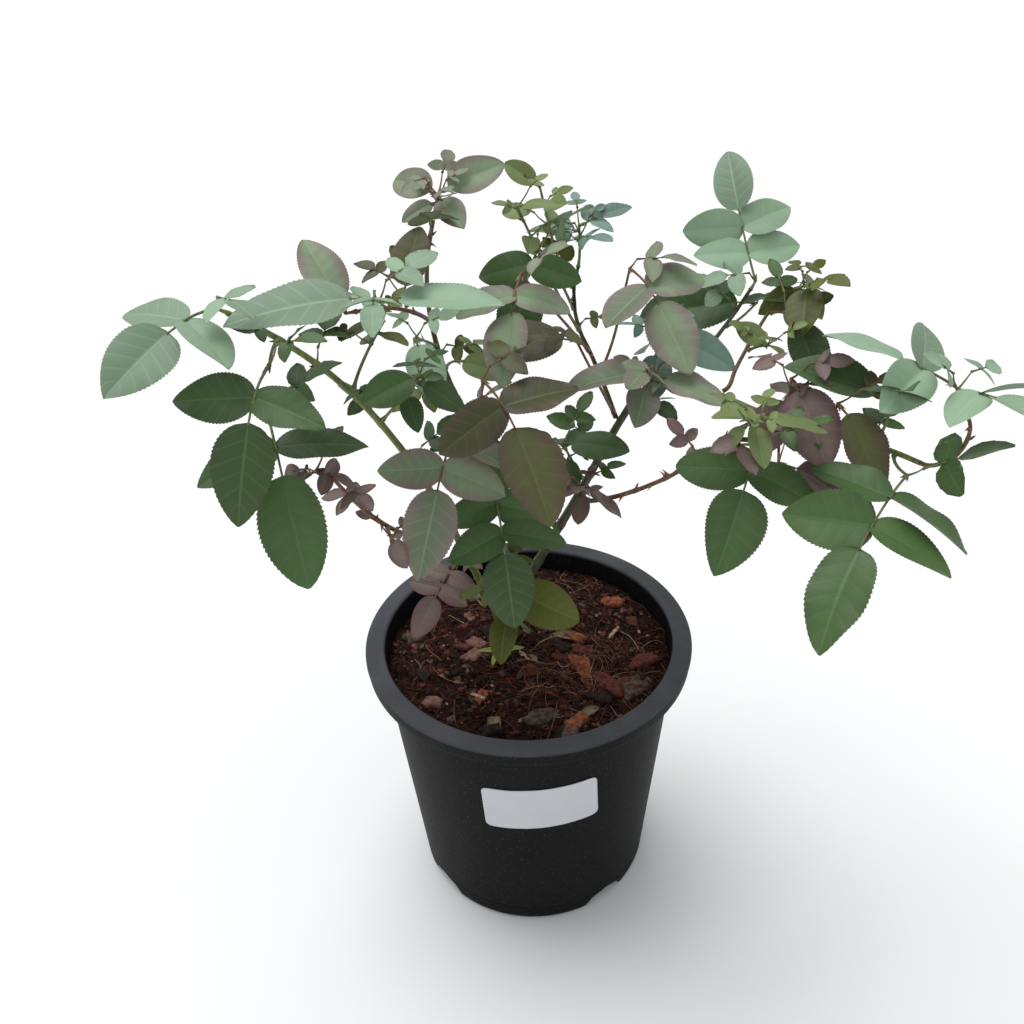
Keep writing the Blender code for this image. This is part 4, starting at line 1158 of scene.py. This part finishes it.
# %% Sizes of the finer twigs
SHOOT_RADII = (0.6 * MM, 0.4 * MM)
SHOOT_REACH = (6 * MM, 13 * MM)
SHOOT_SIZE = (0.30, 0.50)           # a young leaf's end leaflet over that of the mass
LEAST_YOUNG = 8 * MM                # length of the smallest
SHOOT_RISE, SHOOT_RISE_WOBBLE = 40, 15          # degrees
SHOOT_STEP = 3 * MM
YOUNG_RISE = 10                     # of its leaf, in degrees
HEADING_WOBBLE = 30                 # degrees, of a shoot's heading and its leaf's rise
SPUR_TINTS = {"cane_left": "deep", "cane_centre": "olive", "cane_main": "deep",
              "bough_low_left": "wine", "bough_centre_left": "sage", "bough_right": "deep",
              "bough_top_right": "sage", "bough_upper_right": "deep", "bough_centre_top": "olive",
              "bough_low_right": "wine"}
SPUR_LEAF = (10 * MM, 19 * MM)
BARE_SHARE = 0.42                   # of each limb, from its foot, bears no spurs
STIPULE_LENGTH = 5 * MM
STIPULE_WIDTH = 0.3 * STIPULE_LENGTH
STIPULE_ANGLE = 22                  # degrees off the stalk
shoots, young, stipules = [], {}, {}


# %% A shoot and its young leaf


def grow_shoot(node, heading, size, tint, chance):
    """A short shoot that turns up to the light and ends in a leaf of three leaflets."""
    way = heading_rise(heading, SHOOT_RISE + wobble(chance, SHOOT_RISE_WOBBLE))
    upwards = (way + LIGHT).normalized()
    shoot = swept_route(node, chance.uniform(*SHOOT_REACH), (way, upwards), SHOOT_STEP)
    rise = YOUNG_RISE + wobble(chance, HEADING_WOBBLE)
    stalk, leaflets = leaf_plan(shoot[-1], heading, rise, 1, size, chance)
    grown = [leaflet for leaflet in leaflets if clear(leaflet)]
    if grown:
        shoots.extend([(shoot, tint), (stalk, tint)])
        young.setdefault(tint, []).extend(grown)


# %% Grow a shoot in each leaf joint and spurs on the limbs
for row in FOLIAGE:
    tint = row[-1]
    chance = random.Random(row[0] + " shoots")
    for route, leaflets in leaves_of(row, stem_of(row, limbs)):
        node, away = route[0], (route[1] - route[0]).normalized()
        heading = math.degrees(math.atan2(away.y, away.x)) + LEAF_TURN / 2
        heading += wobble(chance, HEADING_WOBBLE)
        size = max(LEAST_YOUNG, leaflets[-1][3] * chance.uniform(*SHOOT_SIZE))
        grow_shoot(node, heading, size, tint, chance)
        for hand in (1, -1):
            side = upper_side(away).cross(away)
            wing = (away + side * (hand * math.tan(math.radians(STIPULE_ANGLE)))).normalized()
            blade = (node, wing, square_to(LIGHT, wing), STIPULE_LENGTH, STIPULE_WIDTH)
            stipules.setdefault(tint, []).append(blade)
for name, tint in SPUR_TINTS.items():
    curve, thick, at, marks = nodes_on[name]
    chance = random.Random(name + " spurs")
    heading = chance.uniform(0, 360)
    for mark in marks[marks > BARE_SHARE * at[-1]]:
        heading += LEAF_TURN
        foot = Vector(curve[np.searchsorted(at, mark)])
        grow_shoot(foot, heading, chance.uniform(*SPUR_LEAF), tint, chance)
print("young leaflets:", {tint: len(found) for tint, found in young.items()})

# %% [markdown]
# ## A leaflet's blade
#
# A leaflet is an oval with a drawn-out tip and forward-pointing teeth. It is folded a little along
# its midrib, hangs at its tip, waves at its margin and swells between its side veins. A plane with
# a picture of a leaf would have no edge and no underside, so the blade is a stack of slit-shaped
# rings from its base to its tip, and every leaflet of one tint is worked out in the same arrays.

# %% The measures of a blade
VEINS = 6.5                         # side veins on each half
VEIN_SLANT = 0.17                   # how far a vein runs on towards the tip, as a share of the length
TOOTH_PLACES = np.array([0.03, 0.90])           # within one tooth: its notch, then its point
TOOTH_HEIGHTS = np.array([0.0, 1.0])
TOOTH_DEPTH = 0.050                 # of the half width
FINE = np.array([1, 0.93, 0.70, 0.40, 0.12, 0, -0.12, -0.40, -0.70, -0.93, -1])    # places across
COARSE = FINE[[0, 2, 5, 8, 10]]     # for the hundreds of young leaves
BASE_FULLNESS = 0.52                # powers of the outline: the lower, the rounder that end
TIP_FULLNESS = (0.62, 0.82)
BLADE_FOLD = (8, 22)                # degrees that each half rises from the midrib
BLADE_CURL = (0.06, 0.24)           # how far the tip hangs, over the length
MOST_DROOP = 0.5                    # of the margins
WAVE = (0.004, 0.022)               # height of the margin's waves, over the length
WAVES = (1.0, 2.2)                  # along one margin
SWELLING = 0.010                    # between the veins, over the length
GROOVE, GROOVE_WIDTH = 0.006, 0.016             # of the midrib, over the length
MIDRIB_ROUND = 0.03                 # the fold is this soft
THICKNESS = 0.008                   # over the length
MOST_TWIST = 0.25                   # radians from base to tip
TEETH_LARGE, TEETH_SMALL, TEETH_YOUNG, TEETH_STIPULE = 24, 13, 5, 2     # on each margin


def outline(u, fullness):
    """Half width along the blade, 1 at its widest: a root of u times a power of what is left."""
    rise = BASE_FULLNESS
    widest = rise / (rise + fullness)
    return u**rise * (1 - u)**fullness / (widest**rise * (1 - widest)**fullness)


def is_under(around):
    """Which points of a blade's ring run back along its underside: those past the far margin."""
    return np.arange(around) > around // 2


# %% Rings of many leaflets


def blade_rings(leaflets, chance, teeth, folds=BLADE_FOLD, curls=BLADE_CURL, top=FINE):
    """Rings of many blades, shaped (leaflets, stations, points, 3), and their places along and across.

    Height over the blade's plane, as shares of its length: a fold that rises from the midrib, less
    a curl that grows with the square of the way to the tip, less a droop of the margins, plus waves
    at the margin and swellings between the veins, less a groove at the midrib.
    """
    base, way, normal, length, width = (np.array(values)[:, None, None] for values in zip(*leaflets))
    side = np.cross(normal, way)

    def own(low, high):
        """A number of its own for each leaflet."""
        return chance.uniform(low, high, (len(leaflets), 1, 1))

    u = ((np.arange(teeth)[:, None] + TOOTH_PLACES) / teeth).ravel()[None, :, None]
    tooth = np.tile(TOOTH_HEIGHTS, teeth)[None, :, None]
    v = np.concatenate([top, top[-2:0:-1]])[None, None]
    half = width / 2 * outline(u, own(*TIP_FULLNESS))
    x = v * half * (1 + TOOTH_DEPTH * tooth * np.abs(v)**8)
    wave = np.sin(2 * np.pi * (own(*WAVES) * u + own(0, 1) + 0.25 * np.sign(v)))
    beat = np.abs(np.sin(np.pi * VEINS * (u - VEIN_SLANT * np.abs(v))))
    bulge = beat * 4 * np.abs(v) * (1 - np.abs(v))
    fold = np.tan(np.radians(own(*folds)))
    soft = MIDRIB_ROUND * length
    height = (fold * (np.sqrt(x**2 + soft**2) - soft)
              - own(*curls) * length * u**2 - own(0, MOST_DROOP) * x**2 / length
              + own(*WAVE) * length * wave * np.abs(v)**2
              + SWELLING * length * bulge * np.sin(np.pi * u)
              - GROOVE * length * np.exp(-(x / (GROOVE_WIDTH * length))**2))
    thin = THICKNESS * length * (1 - np.abs(v)**6)
    height = height - np.where(is_under(v.size), thin, 0)
    twist = own(-MOST_TWIST, MOST_TWIST) * u
    x, height = x * np.cos(twist) - height * np.sin(twist), x * np.sin(twist) + height * np.cos(twist)
    along = u * (length + ROOT_SUNK) - ROOT_SUNK + 0 * v
    rings = base + way * along[..., None] + side * x[..., None] + normal * height[..., None]
    return rings, np.broadcast_to(u, rings.shape[:3]), np.broadcast_to(v, rings.shape[:3])


# %% [markdown]
# ## Leaf finishes
#
# Each tint is a plain base colour for the upper faces and a paler one for the undersides. The
# blade's own UV map draws the midrib and side veins a little lighter, by the same numbers that
# shaped them, and tints the margin on young leaves. One number per leaflet makes it lighter or
# darker than its neighbours.

# %% Veins, margin and shade of a leaf
MIDRIB_EDGES = (0.015, 0.075)       # over the half width: all rib, and none of it
VEIN_EDGES = (0.38, 0.50)           # within one beat of the side veins
VEIN_SHARE = 0.45                   # a side vein's strength over the midrib's
RIB_SHARE = 0.55                    # how far the ribs go to the veins' colour
MARGIN_STARTS = 0.35                # over the half width
PALER = 0.28                        # a leaflet is lighter or darker than its tint by up to this share


def leaf_finish(name, colour, vein, margin, roughness, margin_share):
    """Blade colour, lighter or darker by leaflet, then veins and margin by the place on the blade."""
    made, tree = new_finish(name, roughness, specular=0.32)
    place = tree.nodes.new("ShaderNodeSeparateXYZ")
    tree.links.new(tree.nodes.new("ShaderNodeUVMap").outputs[0], place.inputs[0])
    along = place.outputs["X"]
    out = calc(tree, "ABSOLUTE", calc(tree, "MULTIPLY_ADD", place.outputs["Y"], 2.0, -1.0))
    slanted = calc(tree, "MULTIPLY_ADD", out, -VEIN_SLANT, along)
    beat = calc(tree, "FRACT", calc(tree, "MULTIPLY", slanted, VEINS))
    side_vein = eased(tree, calc(tree, "ABSOLUTE", calc(tree, "SUBTRACT", beat, 0.5)), *VEIN_EDGES)
    side_vein = calc(tree, "MULTIPLY", side_vein, VEIN_SHARE)
    midrib = calc(tree, "SUBTRACT", 1.0, eased(tree, out, *MIDRIB_EDGES))
    own = tree.nodes.new("ShaderNodeAttribute")
    own.attribute_name = "shade"
    shade = calc(tree, "MULTIPLY_ADD", own.outputs["Fac"], 0.5, 0.5)
    darkest, lightest = [[c * share for c in colour] for share in (1 - PALER, 1 + PALER)]
    blade = mixed(tree, shade, darkest, lightest)
    mottled = eased(tree, grain(tree, 130, 4), 0.30, 0.72)
    blade = mixed(tree, calc(tree, "MULTIPLY", mottled, margin_share), blade, margin)
    edge = calc(tree, "MULTIPLY", eased(tree, out, MARGIN_STARTS, 1.0), min(1.0, margin_share * 2.2))
    blade = mixed(tree, edge, blade, margin)
    ribs = calc(tree, "MAXIMUM", midrib, side_vein)
    paint(tree, mixed(tree, calc(tree, "MULTIPLY", ribs, RIB_SHARE), blade, vein))
    bump(tree, grain(tree, 1500, 3), 0.00006)
    return made


# %% A finish for each tint
TINTS = {                           # upper face, veins, margin, share of the margin's colour
    "sage": ((0.255, 0.385, 0.250), (0.370, 0.490, 0.350), (0.230, 0.310, 0.200), 0.12),
    "blue": ((0.165, 0.270, 0.215), (0.270, 0.380, 0.290), (0.150, 0.210, 0.160), 0.12),
    "deep": ((0.062, 0.122, 0.036), (0.115, 0.185, 0.085), (0.050, 0.070, 0.028), 0.12),
    "plum": ((0.200, 0.285, 0.160), (0.300, 0.370, 0.240), (0.235, 0.185, 0.165), 0.42),
    "wine": ((0.195, 0.146, 0.124), (0.270, 0.200, 0.170), (0.160, 0.090, 0.092), 0.50),
    "bronze": ((0.080, 0.095, 0.028), (0.135, 0.140, 0.065), (0.095, 0.068, 0.045), 0.42),
    "lime": ((0.165, 0.240, 0.078), (0.240, 0.300, 0.125), (0.190, 0.180, 0.070), 0.20),
    "olive": ((0.085, 0.110, 0.012), (0.160, 0.190, 0.050), (0.100, 0.085, 0.015), 0.25),
}
UNDERSIDE = 0.6                     # how far an underside goes from its upper colour to pale grey-green
PALE = (0.190, 0.240, 0.150)
leaf_finishes = {}
for tint, (colour, vein, margin, share) in TINTS.items():
    below = [c * (1 - UNDERSIDE) + p * UNDERSIDE for c, p in zip(colour, PALE)]
    leaf_finishes[tint] = [leaf_finish(tint + " leaf", colour, vein, margin, 0.45, share),
                           leaf_finish(tint + " leaf underside", below, vein, margin, 0.7, share / 2)]
print("leaf finishes:", 2 * len(leaf_finishes))

# %% Make one piece of many blades


def add_blades(name, batches, finishes, nodes=()):
    """One piece from batches of (rings, along, across), with its UV map, shades and undersides."""
    surface = joined([skin(rings) for rings, _, _ in batches])
    piece = add_piece(name, surface, finishes, nodes)
    uvs, shades, unders = [], [], []
    for seed, (rings, along, across) in enumerate(batches):
        pieces, count, around, _ = rings.shape
        ends = np.tile([[0.0, 0.5], [1.0, 0.5]], (pieces, 1, 1))
        flat = np.stack([along, across / 2 + 0.5], axis=-1).reshape(pieces, -1, 2)
        uvs.append(np.concatenate([flat, ends], axis=1).reshape(-1, 2))
        own = np.random.default_rng(seed).uniform(-1, 1, pieces)
        shades.append(np.repeat(own, count * around + 2))
        unders.append(np.tile(is_under(around), pieces * (count - 1)))
    uvs, shades = np.concatenate(uvs), np.concatenate(shades)
    mesh = piece.data
    corners = np.empty(len(mesh.loops), np.int32)
    mesh.loops.foreach_get("vertex_index", corners)
    mesh.uv_layers.new(name="blade").data.foreach_set("uv", uvs[corners].astype(np.float32).ravel())
    mesh.attributes.new("shade", "FLOAT", "POINT").data.foreach_set("value", shades.astype(np.float32))
    ends = np.empty(2 * len(mesh.edges), np.int32)
    mesh.edges.foreach_get("vertices", ends)
    on_margin = np.abs(uvs[:, 1] - 0.5) > 0.499
    crisp = on_margin[ends].reshape(-1, 2).all(axis=1)
    mesh.attributes.new("sharp_edge", "BOOLEAN", "EDGE").data.foreach_set("value", crisp)
    under = np.zeros(len(mesh.polygons), np.int32)
    under[:len(surface[1])] = np.concatenate(unders)
    mesh.polygons.foreach_set("material_index", under * (len(finishes) - 1))
    return piece


# %% Unfold the leaves, tint by tint
SMALL_LEAFLET = 24 * MM             # up to this length a leaflet has fewer teeth
for number, (tint, leaflets) in enumerate(leaflets_of.items()):
    chance = np.random.default_rng(700 + number)
    large = [leaflet for leaflet in leaflets if leaflet[3] > SMALL_LEAFLET]
    small = [leaflet for leaflet in leaflets if leaflet[3] <= SMALL_LEAFLET]
    kinds = ((large, TEETH_LARGE, FINE), (small, TEETH_SMALL, FINE),
             (young.get(tint), TEETH_YOUNG, COARSE), (stipules.get(tint), TEETH_STIPULE, COARSE))
    batches = [blade_rings(some, chance, teeth, top=top) for some, teeth, top in kinds if some]
    add_blades("leaflets_" + tint, batches, leaf_finishes[tint], sorted(masses_with[tint]))

# %% [markdown]
# ## Stems and stalks
#
# The green twigs that carry the leaves are thin tubes with a slight swelling at the foot. Young
# ones are red, as new rose shoots are. All of one colour make one piece.

# %% Draw out the stems and stalks
STALK_STATIONS = 14
SLENDER = 0.85                      # a stalk's radius over that of the solid's
FOOT_SWELL, FOOT_SWELL_LENGTH = 0.5, 1.6 * MM   # share of the radius, and how soon it is gone
RED_TINTS = ("plum", "wine", "bronze")
GREENS = ((0.100, 0.140, 0.040), (0.190, 0.240, 0.085), (0.150, 0.120, 0.050))
REDS = ((0.130, 0.060, 0.035), (0.220, 0.110, 0.065), (0.150, 0.120, 0.055))
stalk_finishes = {"green": bark_finish("green stalk", *GREENS), "red": bark_finish("red stalk", *REDS)}
for colour, finish in stalk_finishes.items():
    rings = []
    for group, radii in ((stems, STEM_RADII), (stalks, STALK_RADII), (shoots, SHOOT_RADII)):
        for route, tint in group:
            if (tint in RED_TINTS) != (colour == "red"):
                continue
            curve, thick, at = refined(route, tapering(route, radii), count=STALK_STATIONS)
            thick = thick * (SLENDER + FOOT_SWELL * np.exp(-at / FOOT_SWELL_LENGTH))
            rings.append(tube_rings(curve, thick, 8))
    add_piece("stalks_" + colour, skin(np.array(rings)), [finish])

# %% [markdown]
# ## Litter
#
# Old leaves fall on the mix, dry and curl, and weed seedlings come up beside the stem. They are the
# same toothed blades with a stronger curl, laid flat by a seeded scatter or set round one small
# stem.

# %% Drop dry leaves
DRY_LEAVES = 7
DRY_LENGTH = (9, 17)                # mm
DRY_WIDTH = (0.4, 0.6)              # over the length
DRY_RISE = 4                        # degrees
DRY_LIFT = 1.6 * MM                 # of its base over the soil
DRY_MARGIN = 16 * MM                # from the soil's edge


def over_soil(x, y, lift):
    """The point this far above the soil at a place."""
    return Vector((x, y, float(soil_height(np.array([x]), np.array([y]))[0]) + lift))


chance = random.Random("litter")
fallen = []
for x, y in scattered(DRY_LEAVES, np.random.default_rng(820), DRY_MARGIN):
    way = heading_rise(chance.uniform(0, 360), DRY_RISE)
    length = chance.uniform(*DRY_LENGTH) * MM
    width = length * chance.uniform(*DRY_WIDTH)
    fallen.append((over_soil(x, y, DRY_LIFT), way, square_to(Vector((0, 0, 1)), way), length, width))
dry = leaf_finish("dry leaf", (0.240, 0.190, 0.110), (0.330, 0.260, 0.160), (0.120, 0.075, 0.040),
                  0.7, 0.6)
dry_rings = blade_rings(fallen, np.random.default_rng(821), 10, folds=(10, 45), curls=(0.1, 0.5))
add_blades("dry_leaves", [dry_rings], [dry])

# %% Raise a seedling
SEEDLING_PLACE = (-20 * MM, -12 * MM)
SEEDLING_STEM = Vector((2, -1, 9)) * MM
SEEDLING_WIDTH = 0.24               # of a blade, over its length
# Heading and rise (degrees) and length (mm) of each blade.
SEEDLING_BLADES = ((200, 22, 13), (255, 14, 15), (300, 30, 14), (350, 18, 16), (40, 40, 11),
                   (120, 48, 10))
foot = over_soil(*SEEDLING_PLACE, -1 * MM)
crown = foot + SEEDLING_STEM
blades = []
for heading, rise, length in SEEDLING_BLADES:
    way = heading_rise(heading, rise)
    blades.append((crown, way, upper_side(way), length * MM, length * SEEDLING_WIDTH * MM))
weed = leaf_finish("seedling leaf", (0.210, 0.300, 0.055), (0.300, 0.400, 0.110), (0.240, 0.260, 0.080),
                   0.5, 0.2)
weed_rings = blade_rings(blades, np.random.default_rng(822), 8, folds=(12, 30), curls=(0.1, 0.3))
add_blades("seedling", [weed_rings], [weed])
radii = [0.8 * MM, 0.7 * MM, 0.5 * MM]
curve, thick, at = refined([foot, foot.lerp(crown, 0.5), crown], radii, count=6)
stem_skin = skin(tube_rings(curve, thick, 8)[None])
add_piece("seedling_stem", stem_skin, [stalk_finishes["green"]])

# %% Leave a dead snag at the top
SNAG_LIMB, SNAG_SHARE = "bough_centre_top", 0.75
SNAG_WAY = heading_rise(250, 78)
SNAG_LENGTH = 24 * MM
SNAG_RADII = (1.2 * MM, 0.8 * MM)
SNAG_ROUGHNESS = 0.12               # share of the radius
snag_foot, collar, lean = seat(limbs[SNAG_LIMB], SNAG_SHARE, SNAG_WAY, SNAG_RADII[0])
snag = [snag_foot - lean * MM, *swept_route(collar, SNAG_LENGTH, (lean, SNAG_WAY), 4 * MM)]
curve, thick, at = refined(snag, tapering(snag, SNAG_RADII), count=16)
ragged = 1 + SNAG_ROUGHNESS * noise(np.stack([at / MM, 0 * at, 0 * at], axis=-1), 2.0, 830, 2)
dead = bark_finish("dead bark", (0.006, 0.005, 0.004), (0.022, 0.016, 0.012), (0.030, 0.022, 0.016))
add_piece("dead_snag", skin(tube_rings(curve, thick * ragged, 10)[None]), [dead])
